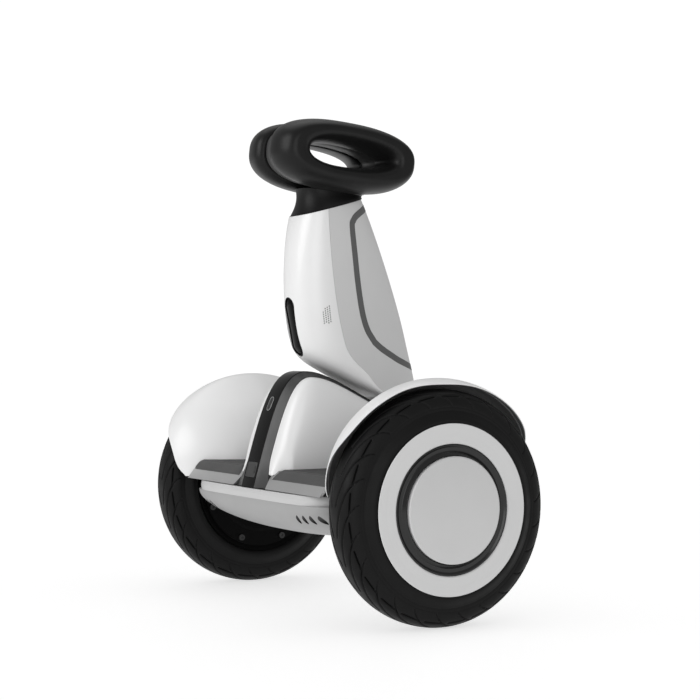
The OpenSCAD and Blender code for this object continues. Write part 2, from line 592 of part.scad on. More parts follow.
// x as a fraction of the section: -1 at the pad's back, 0 at its widest outline, 1 at its face
function head_x(y, s) =
    let (x0 = head_inner(y), x1 = head_outer(y), xm = mix(x0, x1, 0.3))
    s < 0 ? mix(xm, x0, -s) : mix(xm, x1, s);
function head_place(x, q) = [x, head_y + q[0] * cos(pad_tilt) + q[1] * sin(pad_tilt),
                             pad_z + q[1] * cos(pad_tilt) - q[0] * sin(pad_tilt)];
function face_round(t) = mix(cos(t) > 0 ? 0.3 : 0.42, sin(t) > 0 ? 0.48 : 0.55, pow(sin(t), 2));
hole_round = 0.42;
function pad_section(t) = concat(
    [for (a = [0:15:90]) [1 - face_round(t) * (1 - cos(a)), sin(a)]],
    [for (a = [90:-18:18]) [hole_round * (1 - cos(a)), sin(a)]],
    [for (a = [0:30:90]) [0.05 * (1 - cos(a)), -sin(a)]],
    [for (a = [90:-30:30]) [1 - 0.24 * (1 - cos(a)), -sin(a)]]);
function pad_ring(t) = [for (p = pad_section(t)) let (q = mix(hole_outline(t), head_outline(t), p[0]))
    head_place(head_x(q[0], p[1]), q)];
module knee_pad() color("#1a1b1d") loop_skin([for (t = [0:9:351]) pad_ring(t)]);

// the plastic core between the pads, a ring with a small chamfer and a tongue that drops into the neck
core_section = [[0.78, 0.9], [0.74, 1], [0.1, 1], [0.06, 0.9],
                [0.06, -0.9], [0.1, -1], [0.74, -1], [0.78, -0.9]];
function core_ring(t) = [for (p = core_section) let (q = mix(hole_outline(t), head_outline(t), p[0]))
    head_place((head_inner(q[0]) - gap) * p[1], q)];
module head_core() color("#5a5c60") {
    loop_skin([for (t = [0:9:351]) core_ring(t)]);
    translate([-9.2, -23, core_top + gap]) cube([18.4, 44, 16]);
}

// ---------- drawing ----------

chassis_frame();
lower_hull();
bumper_rim();
deck_cover();
battery_pack();
battery_cover_screws();
control_board();
foot_switches();
left_side() foot_mat();  // foot_mat_left
right_side() foot_mat();  // foot_mat_right
left_side() fender();  // fender_left
right_side() fender();  // fender_right
left_side() fender_liner();  // fender_liner_left
right_side() fender_liner();  // fender_liner_right
left_side() arch_panel();  // arch_panel_left
right_side() arch_panel();  // arch_panel_right
spine_bevel();
spine_band();
charge_socket();
left_side() axle();  // axle_left
right_side() axle();  // axle_right
left_side() stator();  // stator_left
right_side() stator();  // stator_right
pivot_bearings();
centring_spring();
charge_cover();
power_button();
pivot_shaft();
pivot_collar();
bar_core();
bar_rear_cover();
bar_front_cover();
bar_trim();
lamp_lens();
lamp_board();
speaker();
neck_cover();
head_core();
left_side() knee_pad();  // knee_pad_left
right_side() knee_pad();  // knee_pad_right
left_side() tyre();  // tyre_left
right_side() tyre();  // tyre_right
left_side() wheel_rim();  // wheel_rim_left
right_side() wheel_rim();  // wheel_rim_right
left_side() magnet_ring();  // magnet_ring_left
right_side() magnet_ring();  // magnet_ring_right
left_side() motor_cover();  // motor_cover_left
right_side() motor_cover();  // motor_cover_right
left_side() motor_screws();  // motor_screws_left
right_side() motor_screws();  // motor_screws_right
left_side() wheel_bearings();  // wheel_bearings_left
right_side() wheel_bearings();  // wheel_bearings_right
left_side() hub_ring();  // hub_ring_left
right_side() hub_ring();  // hub_ring_right
left_side() hub_groove();  // hub_groove_left
right_side() hub_groove();  // hub_groove_right
left_side() hub_cap();  // hub_cap_left
right_side() hub_cap();  // hub_cap_right
left_side() tyre_valve();  // tyre_valve_left
right_side() tyre_valve();  // tyre_valve_right
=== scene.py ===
"""Looks of the two-wheeled self-balancing transporter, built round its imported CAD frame.

Lengths in the geometry are in millimetres in the CAD's own frame; solid() turns them into metres.
"""

import json
import math

import bmesh
import bpy
import numpy as np
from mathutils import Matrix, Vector
from mathutils.bvhtree import BVHTree


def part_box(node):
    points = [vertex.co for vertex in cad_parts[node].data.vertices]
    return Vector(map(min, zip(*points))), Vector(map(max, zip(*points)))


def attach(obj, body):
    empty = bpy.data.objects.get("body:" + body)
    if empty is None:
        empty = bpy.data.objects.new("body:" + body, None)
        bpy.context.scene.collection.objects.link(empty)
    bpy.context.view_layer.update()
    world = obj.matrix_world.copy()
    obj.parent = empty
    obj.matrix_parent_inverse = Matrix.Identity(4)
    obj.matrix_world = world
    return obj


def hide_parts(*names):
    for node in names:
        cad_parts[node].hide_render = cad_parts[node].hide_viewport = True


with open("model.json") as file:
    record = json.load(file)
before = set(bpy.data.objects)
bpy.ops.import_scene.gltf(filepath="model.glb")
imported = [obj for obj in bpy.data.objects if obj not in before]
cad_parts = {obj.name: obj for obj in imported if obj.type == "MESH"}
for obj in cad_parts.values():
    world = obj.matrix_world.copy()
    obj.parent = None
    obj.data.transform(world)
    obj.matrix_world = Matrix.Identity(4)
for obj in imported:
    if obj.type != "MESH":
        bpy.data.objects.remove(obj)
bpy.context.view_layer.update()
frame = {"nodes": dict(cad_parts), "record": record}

MM = 0.001

# ---------- camera ----------

CAMERA_PLACE = (1.89094, -1.06433, 0.31403)
CAMERA_LOOKS = (-0.8674, 0.4976, 0.0)
CAMERA_LENS = 89.17


def make_camera():
    data = bpy.data.cameras.new("camera")
    data.lens = CAMERA_LENS
    data.sensor_width = 36
    data.clip_end = 60
    camera = bpy.data.objects.new("camera", data)
    camera.location = CAMERA_PLACE
    camera.rotation_euler = Vector(CAMERA_LOOKS).to_track_quat("-Z", "Y").to_euler()
    bpy.context.scene.collection.objects.link(camera)
    bpy.context.scene.camera = camera


make_camera()

# ---------- sizes from the frame ----------


def corners(node):
    """Lowest and highest corner of a CAD node, in millimetres."""
    low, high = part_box(node)
    return np.array(low) / MM, np.array(high) / MM


tyre_low, tyre_high = corners("tyre_right")
TRACK = (tyre_low[0] + tyre_high[0]) / 2
AXLE_Z = (tyre_low[2] + tyre_high[2]) / 2
TYRE_R = (tyre_high[2] - tyre_low[2]) / 2
TYRE_HALF_W = (tyre_high[0] - tyre_low[0]) / 2
DECK_Z = corners("foot_mat_right")[1][2]
SEAM_Z = corners("deck_cover")[0][2]
BUMPER_Z = corners("bumper_rim")[0][2]
BELLY_Z = corners("lower_hull")[0][2]
HULL_HALF_W = corners("lower_hull")[1][0]
DECK_HALF_L = corners("lower_hull")[1][1]
ARCH_TOP_Z = corners("spine_band")[1][2]
BAND_HALF_W = corners("spine_band")[1][0]
ARCH_HALF_W = corners("arch_panel_right")[1][0]
BAR_HALF_W = corners("bar_rear_cover")[1][0]
PIVOT_Z = (corners("pivot_shaft")[0][2] + corners("pivot_shaft")[1][2]) / 2
GAP = 0.3

# ---------- curves ----------


def round_turn(count):
    """Angles of count points spaced evenly round a full turn."""
    return np.linspace(0, 2 * math.pi, count, endpoint=False)


def spow(v, e):
    return np.sign(v) * np.abs(v) ** e


def bulge(u, e):
    """Height left on a superellipse of exponent e at the fraction u of its half width."""
    return np.maximum(0, 1 - np.minimum(1, np.abs(u)) ** e) ** (1 / e)


def smooth(t):
    u = np.clip(t, 0, 1)
    return u * u * (3 - 2 * u)


def mix(a, b, t):
    return a * (1 - t) + b * t


def unit(v):
    return v / np.maximum(1e-9, np.linalg.norm(v, axis=-1, keepdims=True))


def bezier(p, t):
    p = [np.asarray(q, float) for q in p]
    t = np.asarray(t, float)[..., None]
    s = 1 - t
    return p[0] * s**3 + 3 * p[1] * t * s**2 + 3 * p[2] * t**2 * s + p[3] * t**3


def run_along(path):
    """Length of a path from its start to each of its points."""
    return np.r_[0, np.cumsum(np.linalg.norm(np.diff(path, axis=0), axis=1))]


def pick(values, run, at):
    """Rows of values, known at the lengths run, read at the lengths at."""
    return np.stack([np.interp(at, run, values[:, k]) for k in range(values.shape[1])], -1)


def resample(path, count):
    """Points evenly spaced along a dense path."""
    run = run_along(path)
    return pick(path, run, np.linspace(0, run[-1], count))


def curve_through(points, per_span=12, closed=False):
    """Catmull-Rom curve through the given points."""
    p = np.asarray(points, float)
    n = len(p)
    t = np.linspace(0, 1, per_span, endpoint=False)[:, None]
    out = []
    for i in range(n if closed else n - 1):
        if closed:
            a, b, c, d = (p[(i + k) % n] for k in (-1, 0, 1, 2))
        else:
            b, c = p[i], p[i + 1]
            a = p[i - 1] if i else 2 * b - c
            d = p[i + 2] if i + 2 < n else 2 * c - b
        out.append(0.5 * (2 * b + (c - a) * t + (2 * a - 5 * b + 4 * c - d) * t**2
                          + (3 * b - a - 3 * c + d) * t**3))
    if not closed:
        out.append(p[-1:])
    return np.vstack(out)


def fillet(outline, steps=5):
    """Closed outline from corners (a, b, radius), each rounded by its radius."""
    out = []
    for i, (a, b, radius) in enumerate(outline):
        p = np.array([a, b], float)
        before = np.array(outline[i - 1][:2], float) - p
        after = np.array(outline[(i + 1) % len(outline)][:2], float) - p
        long_0, long_1 = np.linalg.norm(before), np.linalg.norm(after)
        half = 0.5 * math.acos(float(np.clip(before @ after / (long_0 * long_1), -1, 1)))
        if radius == 0 or half < 0.01:
            out.append(p)
            continue
        cut = min(radius / math.tan(half), 0.45 * long_0, 0.45 * long_1)
        start, end = p + before / long_0 * cut, p + after / long_1 * cut
        for k in range(steps + 1):
            t = k / steps
            out.append(start * (1 - t) ** 2 + 2 * p * t * (1 - t) + end * t * t)
    return np.array(out)


# ---------- meshes ----------


def grid_faces(rows, cols, wrap_rows, wrap_cols):
    i = np.arange(rows if wrap_rows else rows - 1)[:, None]
    j = np.arange(cols if wrap_cols else cols - 1)[None, :]
    k, m = (j + 1) % cols, (i + 1) % rows
    quads = np.stack([i * cols + j, i * cols + k, m * cols + k, m * cols + j], -1)
    return quads.reshape(-1, 4)


def ring_surface(rings, wrap=True, caps=False):
    """Closed rings of points, joined in a row; caps close the two ends."""
    rows, cols = rings.shape[:2]
    faces = grid_faces(rows, cols, wrap, True).tolist()
    if caps:
        faces += [list(range(cols))[::-1], list(range((rows - 1) * cols, rows * cols))]
    return rings.reshape(-1, 3), faces


def shell_surface(outer, inner):
    """Closed shell between two matching grids of points."""
    rows, cols = outer.shape[:2]
    n = rows * cols
    face = grid_faces(rows, cols, False, False)
    rim = ([(j, j + 1) for j in range(cols - 1)]
           + [((i + 1) * cols - 1, (i + 2) * cols - 1) for i in range(rows - 1)]
           + [(n - 1 - j, n - 2 - j) for j in range(cols - 1)]
           + [(n - cols - i * cols, n - 2 * cols - i * cols) for i in range(rows - 1)])
    faces = face.tolist() + (face[:, ::-1] + n).tolist() + [[b, a, a + n, b + n] for a, b in rim]
    return np.vstack([outer.reshape(-1, 3), inner.reshape(-1, 3)]), faces


def join_parts(parts):
    """Several (vertices, faces) pairs as one."""
    verts, faces, base = [], [], 0
    for v, f in parts:
        verts.append(v)
        faces += [[k + base for k in q] for q in f]
        base += len(v)
    return np.vstack(verts), faces


def mesh_object(name, verts, faces, merge=0.0):
    """Object with a mesh from points in millimetres; points closer than merge become one."""
    mesh = bpy.data.meshes.new(name)
    mesh.from_pydata((np.asarray(verts, float) * MM).tolist(), [], [list(f) for f in faces])
    work = bmesh.new()
    work.from_mesh(mesh)
    if merge:
        bmesh.ops.remove_doubles(work, verts=work.verts, dist=merge * MM)
        bmesh.ops.dissolve_degenerate(work, edges=work.edges, dist=merge * MM)
    bmesh.ops.recalc_face_normals(work, faces=work.faces)
    work.to_mesh(mesh)
    work.free()
    made = bpy.data.objects.new(name, mesh)
    bpy.context.scene.collection.objects.link(made)
    return made


MERGE = 0.002


def solid(name, surface, body, looks, side=1, slot=None, stands_for=None, sharp=32, bevel=0.0,
          paint=None, cutters=()):
    """Makes one piece from (vertices, faces) in millimetres and lets it ride on a CAD body.

    looks names its materials; slot is not used. Unless told otherwise the piece stands for the CAD
    node of its own name. side -1 mirrors it, bevel rounds its sharp edges,
    paint(centres, normals) chooses each face's material, and cutters are taken out of it.
    """
    looks = [looks] if isinstance(looks, str) else looks
    slot = slot or looks[0]
    stands_for = name if stands_for is None else stands_for
    verts, faces = surface
    verts = np.array(verts, float)
    if side < 0:
        verts[:, 0] *= -1
    piece = mesh_object(name, verts, faces, MERGE)
    for cutter in cutters:
        cut(piece, cutter)
    mesh = piece.data
    for look in looks:
        mesh.materials.append(LOOKS[look])
    mesh.polygons.foreach_set("use_smooth", [True] * len(mesh.polygons))
    mesh.set_sharp_from_angle(angle=math.radians(sharp))
    if paint:
        count = len(mesh.polygons)
        centre, normal = np.empty(count * 3), np.empty(count * 3)
        mesh.polygons.foreach_get("center", centre)
        mesh.polygons.foreach_get("normal", normal)
        chosen = paint(centre.reshape(-1, 3) / MM, normal.reshape(-1, 3))
        mesh.polygons.foreach_set("material_index", np.asarray(chosen, int).tolist())
    if bevel:
        rounding = piece.modifiers.new("edges", "BEVEL")
        rounding.width = bevel * MM
        rounding.segments = 3
        rounding.limit_method = "ANGLE"
        rounding.angle_limit = math.radians(sharp + 8)
        rounding.harden_normals = False
    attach(piece, body)
    if stands_for:
        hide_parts(*([stands_for] if isinstance(stands_for, str) else stands_for))
    return piece


def tool(surface):
    """An object used only to cut others."""
    return mesh_object("tool", *surface)


def cut(piece, cutter):
    step = piece.modifiers.new("cut", "BOOLEAN")
    step.operation = "DIFFERENCE"
    step.solver = "EXACT"
    step.object = cutter
    bpy.context.view_layer.update()
    graph = bpy.context.evaluated_depsgraph_get()
    cut_mesh = bpy.data.meshes.new_from_object(piece.evaluated_get(graph))
    piece.modifiers.clear()
    old = piece.data
    piece.data = cut_mesh
    cut_mesh.name = piece.name
    bpy.data.meshes.remove(old)


def discard(*tools):
    for maker in tools:
        mesh = maker.data
        bpy.data.objects.remove(maker)
        bpy.data.meshes.remove(mesh)


SIDES = (("right", 1), ("left", -1))

# ---------- materials ----------


LOOKS = {}


def make_look(name, color, roughness, metallic=0.0, vary=0.04, vary_scale=18, rough_vary=0.06,
              rough_scale=60, grain=0.0, grain_scale=900, coat=0.0, coat_roughness=0.08, specular=0.5,
              sheen=0.0, anisotropic=0.0, emission=None):
    """Principled material whose colour, roughness and fine grain come from noise in the frame's own space.

    A color of one number is a grey. vary is the share by which the colour wanders, rough_vary the same
    for the roughness, and grain the height in millimetres of the moulded or brushed surface texture.
    """
    if isinstance(color, float):
        color = (color, color, color)
    made = bpy.data.materials.new(name)
    made.use_nodes = True
    nodes, links = made.node_tree.nodes, made.node_tree.links
    shader = nodes["Principled BSDF"]
    for socket, value in (("Metallic", metallic), ("Coat Weight", coat), ("Coat Roughness", coat_roughness),
                          ("Specular IOR Level", specular), ("Sheen Weight", sheen),
                          ("Anisotropic", anisotropic)):
        shader.inputs[socket].default_value = value
    place = nodes.new("ShaderNodeTexCoord")

    def noise(scale, detail):
        node = nodes.new("ShaderNodeTexNoise")
        node.inputs["Scale"].default_value = scale
        node.inputs["Detail"].default_value = detail
        links.new(place.outputs["Object"], node.inputs["Vector"])
        return node.outputs["Fac"]

    def spread(source, low, high):
        node = nodes.new("ShaderNodeMapRange")
        for socket, value in (("From Min", 0.3), ("From Max", 0.7), ("To Min", low), ("To Max", high)):
            node.inputs[socket].default_value = value
        links.new(source, node.inputs["Value"])
        return node.outputs["Result"]

    ramp = nodes.new("ShaderNodeValToRGB")
    ramp.color_ramp.elements[0].position = 0.3
    ramp.color_ramp.elements[1].position = 0.7
    ramp.color_ramp.elements[0].color = [c * (1 - vary) for c in color] + [1]
    ramp.color_ramp.elements[1].color = [min(1, c * (1 + vary)) for c in color] + [1]
    links.new(noise(vary_scale, 3), ramp.inputs["Fac"])
    links.new(ramp.outputs["Color"], shader.inputs["Base Color"])
    low, high = roughness * (1 - rough_vary), min(1, roughness * (1 + rough_vary))
    links.new(spread(noise(rough_scale, 4), low, high), shader.inputs["Roughness"])
    if grain:
        bump = nodes.new("ShaderNodeBump")
        bump.inputs["Distance"].default_value = grain * MM
        bump.inputs["Strength"].default_value = 1.0
        links.new(noise(grain_scale, 2), bump.inputs["Height"])
        links.new(bump.outputs["Normal"], shader.inputs["Normal"])
    if emission:
        shader.inputs["Emission Color"].default_value = (1, 1, 1, 1)
        shader.inputs["Emission Strength"].default_value = emission
    LOOKS[name] = made


make_look("white_gloss", 0.76, 0.32, vary=0.012, grain=0.004, coat=0.15)
# grey_white is white_gloss made greyer: painted shade for the front cover's flank, which turns away from the
# key light.
make_look("grey_white", 0.56, 0.36, vary=0.015, grain=0.005, coat=0.1)
# hull_plastic is kept darker than the bumper's copy of it: painted shade for the hull under the deck.
make_look("hull_plastic", 0.32, 0.48, vary=0.02, grain=0.012)
make_look("silver_trim", 0.42, 0.38, metallic=0.6, vary=0.03, grain=0.006)
make_look("black_gloss", 0.0015, 0.18, vary=0.1, specular=0.1, coat=0.02, coat_roughness=0.06)
make_look("black_satin", 0.003, 0.45, vary=0.08, grain=0.012, specular=0.22)
# dark_plastic is the button's and grip's own plastic; on the hull's slot walls and in the sound grille's cups
# it is painted shade.
make_look("dark_plastic", 0.02, 0.42, vary=0.08, grain=0.01, specular=0.4)
make_look("liner_plastic", 0.14, 0.55, vary=0.1, grain=0.02, specular=0.35)
make_look("mat_rubber", 0.066, 0.66, vary=0.12, grain=0.03, specular=0.3)
make_look("trim_grey", 0.09, 0.45, vary=0.05, grain=0.01, specular=0.4)
make_look("lamp_glass", 0.0015, 0.14, vary=0.1, specular=0.06, coat=0.02, coat_roughness=0.04)
make_look("core_plastic", 0.06, 0.45, vary=0.06, grain=0.015)
make_look("pad_foam", 0.005, 0.38, vary=0.12, vary_scale=30, grain=0.03, grain_scale=700,
          specular=0.22, sheen=0.02)
make_look("tyre_rubber", 0.0035, 0.5, vary=0.15, rough_vary=0.12, grain=0.03, specular=0.16)
make_look("rim_black", 0.0015, 0.5, vary=0.08, grain=0.01, specular=0.06)
make_look("groove_metal", 0.04, 0.22, metallic=0.9, vary=0.05, grain=0.004, anisotropic=0.4)
make_look("cap_silver", 0.56, 0.38, metallic=0.25, vary=0.012, grain=0.004, coat=0.1)
make_look("cast_frame", 0.36, 0.5, metallic=0.9, vary=0.08, grain=0.05, grain_scale=500)
make_look("battery_wrap", (0.04, 0.13, 0.3), 0.3, vary=0.05, grain=0.01)
make_look("screw_steel", 0.32, 0.32, metallic=1.0, vary=0.06, grain=0.005)
make_look("circuit_board", (0.02, 0.14, 0.05), 0.35, vary=0.2, vary_scale=160, grain=0.01)
make_look("shaft_steel", 0.5, 0.26, metallic=1.0, vary=0.04, grain=0.004)
make_look("motor_copper", (0.55, 0.2, 0.08), 0.34, metallic=0.9, vary=0.25, vary_scale=240, grain=0.05,
          grain_scale=400)
make_look("bearing_steel", 0.6, 0.16, metallic=1.0, vary=0.03, grain=0.003)
make_look("spring_steel", 0.42, 0.3, metallic=1.0, vary=0.05, grain=0.004)
make_look("magnet", 0.5, 0.24, metallic=1.0, vary=0.05, grain=0.004)
make_look("charge_rubber", 0.03, 0.4, vary=0.08, grain=0.015, specular=0.4)
# The bevel strips' silver, darkened to near black: painted shade for strips that face away from the key
# light.
make_look("bevel_silver", 0.055, 0.42, metallic=0.5, vary=0.03, grain=0.006)
# A lighter copy of hull_plastic for the bumper, which shares its slot: painted light on the bumper's lit
# sides.
make_look("bumper_plastic", 0.5, 0.42, vary=0.02, grain=0.012)
make_look("ring_white", 0.6, 0.36, vary=0.012, grain=0.004)
make_look("screw_black", 0.03, 0.45, metallic=0.4, vary=0.06, grain=0.005)
make_look("floor", 0.8, 0.6, vary=0.0, rough_vary=0.0, specular=0.2, emission=0.66)

NODE_SLOTS = {s["node"]: s["material_slot"] for s in frame["record"]["subparts"]}
for node_name, cad_piece in frame["nodes"].items():
    cad_piece.data.materials.clear()
    shown = "screw_black" if node_name.startswith("motor_screws") else NODE_SLOTS[node_name]
    cad_piece.data.materials.append(LOOKS[shown])

# ---------- wheels ----------

TREAD_UNITS = 25
UNIT_COLUMNS = 32
CROWN_HALF_W = 25.4
CROWN_R = 112
CROWN_EXPONENT = 2.63
BEAD_R = 99.5
SECTION_POINTS = 151
WALL_RINGS = ((115.2, 0.7, 0.35), (111.0, 0.8, 0.4), (BEAD_R - 0.5, 0.6, 0.3))  # radius, half width, depth


def tyre_section():
    """Outer section as evenly spaced (radius, offset) points, and their arc length from the middle."""
    turn = np.linspace(-90, 90, 721)
    e = 2 / CROWN_EXPONENT
    s, c = np.sin(np.radians(turn)), np.cos(np.radians(turn))
    crown = np.stack([CROWN_R + (TYRE_R - CROWN_R) * spow(np.maximum(0, c), e),
                      CROWN_HALF_W * spow(s, e)], -1)
    wall = bezier([(CROWN_R, CROWN_HALF_W), (CROWN_R - 4, CROWN_HALF_W + 0.6),
                   (BEAD_R + 5, TYRE_HALF_W - 0.3), (BEAD_R, TYRE_HALF_W)], np.linspace(0, 1, 24))
    bead = bezier([(BEAD_R, TYRE_HALF_W), (BEAD_R - 2.5, TYRE_HALF_W), (BEAD_R - 5, TYRE_HALF_W - 0.8),
                   (BEAD_R - 7.1, TYRE_HALF_W - 3)], np.linspace(0, 1, 10))
    half = np.vstack([wall[1:], bead[1:]])
    path = np.vstack([half[::-1] * (1, -1), crown, half])
    path = resample(path, SECTION_POINTS)
    run = run_along(path)
    return path, run - run[-1] / 2


def tread_lines():
    """One side's grooves in one unit, as (points, half width, depth).

    A point is (degrees back from the unit's start, offset).
    """
    long_sweep = [(-1, 22.2), (0, 21.5), (4.5, 17.2), (8.5, 14.2), (13, 10.9), (17.5, 8.2), (22, 5.6),
                  (25.5, 3.6)]
    shoulder_cut = [(-5.4, 25.35), (-4.6, 25.0), (-3.5, 24.3), (-1.8, 23.1), (0, 21.5)]
    short_bar = [(-10.4, 21.1), (-5, 21.2), (-0.4, 21.4)]
    return [(long_sweep, 1.25, 1.7), (shoulder_cut, 0.85, 1.1), (short_bar, 1.35, 2.0)]


def groove_depth(turn, run, lines, to_run):
    """Depth of the tread grooves at angles turn, in degrees, and arc lengths run across the section."""
    depth = np.zeros(run.shape)
    degree = math.radians(1) * (TYRE_R - 4)
    pitch = 360 / TREAD_UNITS
    for points, half_w, deep in lines:
        path = curve_through(points, 6)
        line = np.stack([path[:, 0] * degree, to_run(path[:, 1])], -1)
        for shift in range(-3, 4):
            a = line[:-1] + (shift * pitch * degree, 0)
            b = line[1:] + (shift * pitch * degree, 0)
            p = np.stack([turn * degree, run], -1)[..., None, :]
            along = np.clip(((p - a) * (b - a)).sum(-1) / ((b - a) ** 2).sum(-1), 0, 1)
            away = np.linalg.norm(p - a - along[..., None] * (b - a), axis=-1).min(-1)
            depth = np.maximum(depth, deep * smooth(1.25 * (1 - away / half_w)))
    return depth


def build_tyre(side_name, side):
    section, run = tyre_section()
    along = np.gradient(section, axis=0)
    normal = unit(np.stack([along[:, 1], -along[:, 0]], -1))
    crown = np.abs(section[:, 1]) < CROWN_HALF_W + 0.4
    to_run = lambda offset: np.interp(offset, section[crown, 1], run[crown])
    turn = -np.arange(UNIT_COLUMNS) * 360 / TREAD_UNITS / UNIT_COLUMNS
    t, s = np.meshgrid(-turn, run, indexing="ij")
    lines = tread_lines()
    mirrored = [([(a, -o) for a, o in points], w, d) for points, w, d in lines]
    depth = groove_depth(t, s, lines + mirrored, to_run)
    shoulder = np.abs(s) > to_run(np.array(25.3))
    depth[shoulder] = 0
    for r, half_w, deep in WALL_RINGS:
        for sign in (-1, 1):
            mine = np.sign(section[:, 1]) == sign
            away = np.where(mine, np.abs(section[:, 0] - r), 99)
            depth = np.maximum(depth, deep * smooth(1.3 * (1 - away / half_w))[None, :])
    depth = np.tile(depth, (TREAD_UNITS, 1))
    angle = np.radians(-np.arange(len(depth)) * 360 / len(depth))[:, None]
    r = section[None, :, 0] - depth * normal[None, :, 0]
    x = TRACK + section[None, :, 1] - depth * normal[None, :, 1]
    rings = np.stack([x + 0 * angle, -r * np.cos(angle), AXLE_Z + r * np.sin(angle)], -1)
    solid("tyre_" + side_name, ring_surface(rings), "wheel_" + side_name, "tyre_rubber", side,
          sharp=60)


def turned(outline, steps=200):
    """Surface of revolution about the right wheel's axle, from a closed (radius, offset) outline."""
    outline = np.asarray(outline, float)
    angle = round_turn(steps)[:, None]
    r, x = outline[None, :, 0], outline[None, :, 1]
    rings = np.stack([TRACK + x + 0 * angle, -r * np.cos(angle), AXLE_Z + r * np.sin(angle)], -1)
    return ring_surface(rings)


HUB_FACE = 32.4
HUB_BACK = 29.3
HUB_RING_R = 74.2
GROOVE_R = 61.2
CAP_R = 60.4
CAP_EDGE = 37.2
CAP_CROWN = 1.8


def build_hub(side_name, side):
    body = "wheel_" + side_name
    ring = fillet([(HUB_RING_R, HUB_BACK, 0), (86, HUB_BACK, 0), (92.6, HUB_BACK, 0.5), (96.6, 31, 0.3),
                   (97.1, 31.7, 0.2), (96.5, HUB_FACE, 0.5), (86, HUB_FACE - 0.25, 6),
                   (75.6, HUB_FACE, 0.5), (HUB_RING_R, 31.4, 0.6)])
    solid("hub_ring_" + side_name, turned(ring), body, "ring_white", side, slot="white_gloss")
    groove = fillet([(GROOVE_R, 27.7, 0), (73.9, HUB_BACK, 0), (73.9, 31.2, 0.3), (72.4, 31.3, 0.6),
                     (70.2, 29.9, 1.4), (66, 29.8, 1.6), (63.2, 32.6, 1.2), (62.2, 33.6, 0.4),
                     (GROOVE_R, 33.4, 0.3)], 7)
    solid("hub_groove_" + side_name, turned(groove), body, "groove_metal", side)
    rise = np.linspace(1, 0, 16)[:, None]
    dome = np.hstack([(CAP_R - 1.3) * rise, CAP_EDGE + CAP_CROWN * (1 - rise**2)])
    edge = fillet([(0, 27.5, 0), (CAP_R - 0.6, 27.8, 0.4), (CAP_R, 28.6, 0.3), (CAP_R, 36.2, 0),
                   (CAP_R - 1.3, CAP_EDGE, 0)])[:-1]
    solid("hub_cap_" + side_name, turned(np.vstack([edge, dome])), body, "cap_silver", side)


# ---------- fenders ----------

FENDER_MID = 230
FENDER_WIDE_Z = 160
FENDER_LOW = corners("fender_right")[0][2]
FENDER_IN = FENDER_MID - corners("fender_right")[0][0]
FENDER_OUT = 60
FENDER_HALF_L = 136.8
FENDER_UP = 122.6
FENDER_DOWN = 140
PLAN_E = 2.91
RISE_E = 2.02
PLAN_IN_E = 1.84
RISE_IN_E = 1
FENDER_WALL = 1.8
LINER_WALL = 1.1
LINER_SHORT = 11
# The lip as seen along Y: (x, z) points up its rear half.
LIP_LINE = [(191, 148.6), (199, 159), (204, 169), (208.5, 179), (216, 191), (228.5, 206), (240.5, 224),
            (246.5, 245), (249, 261), (249.4, 270), (249.8, 276)]


def fender_axes(d):
    return np.stack([np.where(d[..., 0] < 0, FENDER_IN, FENDER_OUT), np.full(d.shape[:-1], FENDER_HALF_L),
                     np.where(d[..., 2] < 0, FENDER_DOWN, FENDER_UP)], -1)


def fender_level(p):
    """Below 1 inside the fender's surface and above 1 outside it; p is taken from the fender's centre."""
    q = np.abs(p) / fender_axes(p)
    inboard = p[..., 0] < 0
    left = np.maximum(1e-9, 1 - q[..., 2] ** RISE_E)
    wide = q[..., 0] / left ** (1 / np.where(inboard, RISE_IN_E, RISE_E))
    long = q[..., 1] / left ** (1 / RISE_E)
    e = np.where(inboard, PLAN_IN_E, PLAN_E)
    return wide**e + long**e + 10 * (q[..., 2] >= 1)


def lip_point(x, z):
    """Where the lip line, drawn as seen along Y, lies on the rear half of the fender's surface."""
    left = (1 - (abs(z - FENDER_WIDE_Z) / (FENDER_UP if z > FENDER_WIDE_Z else FENDER_DOWN)) ** RISE_E)
    if x < FENDER_MID:
        wide, e = (FENDER_MID - x) / FENDER_IN / left ** (1 / RISE_IN_E), PLAN_IN_E
    else:
        wide, e = (x - FENDER_MID) / FENDER_OUT / left ** (1 / RISE_E), PLAN_E
    return x, FENDER_HALF_L * left ** (1 / RISE_E) * float(bulge(wide, e)), z


def on_fender(d):
    """Points where rays d from the fender's centre meet its surface, and the outward normals there."""
    ray = unit(d)
    near, far = np.zeros(d.shape[:-1]), np.full(d.shape[:-1], 300.0)
    for _ in range(36):
        half = (near + far) / 2
        inside = fender_level(ray * half[..., None]) < 1
        near, far = np.where(inside, half, near), np.where(inside, far, half)
    p = ray * near[..., None]
    step = 0.02 * np.eye(3)
    slope = np.stack([fender_level(p * 0.9995 + k) - fender_level(p * 0.9995 - k) for k in step], -1)
    return p + (FENDER_MID, 0, FENDER_WIDE_Z), unit(slope)


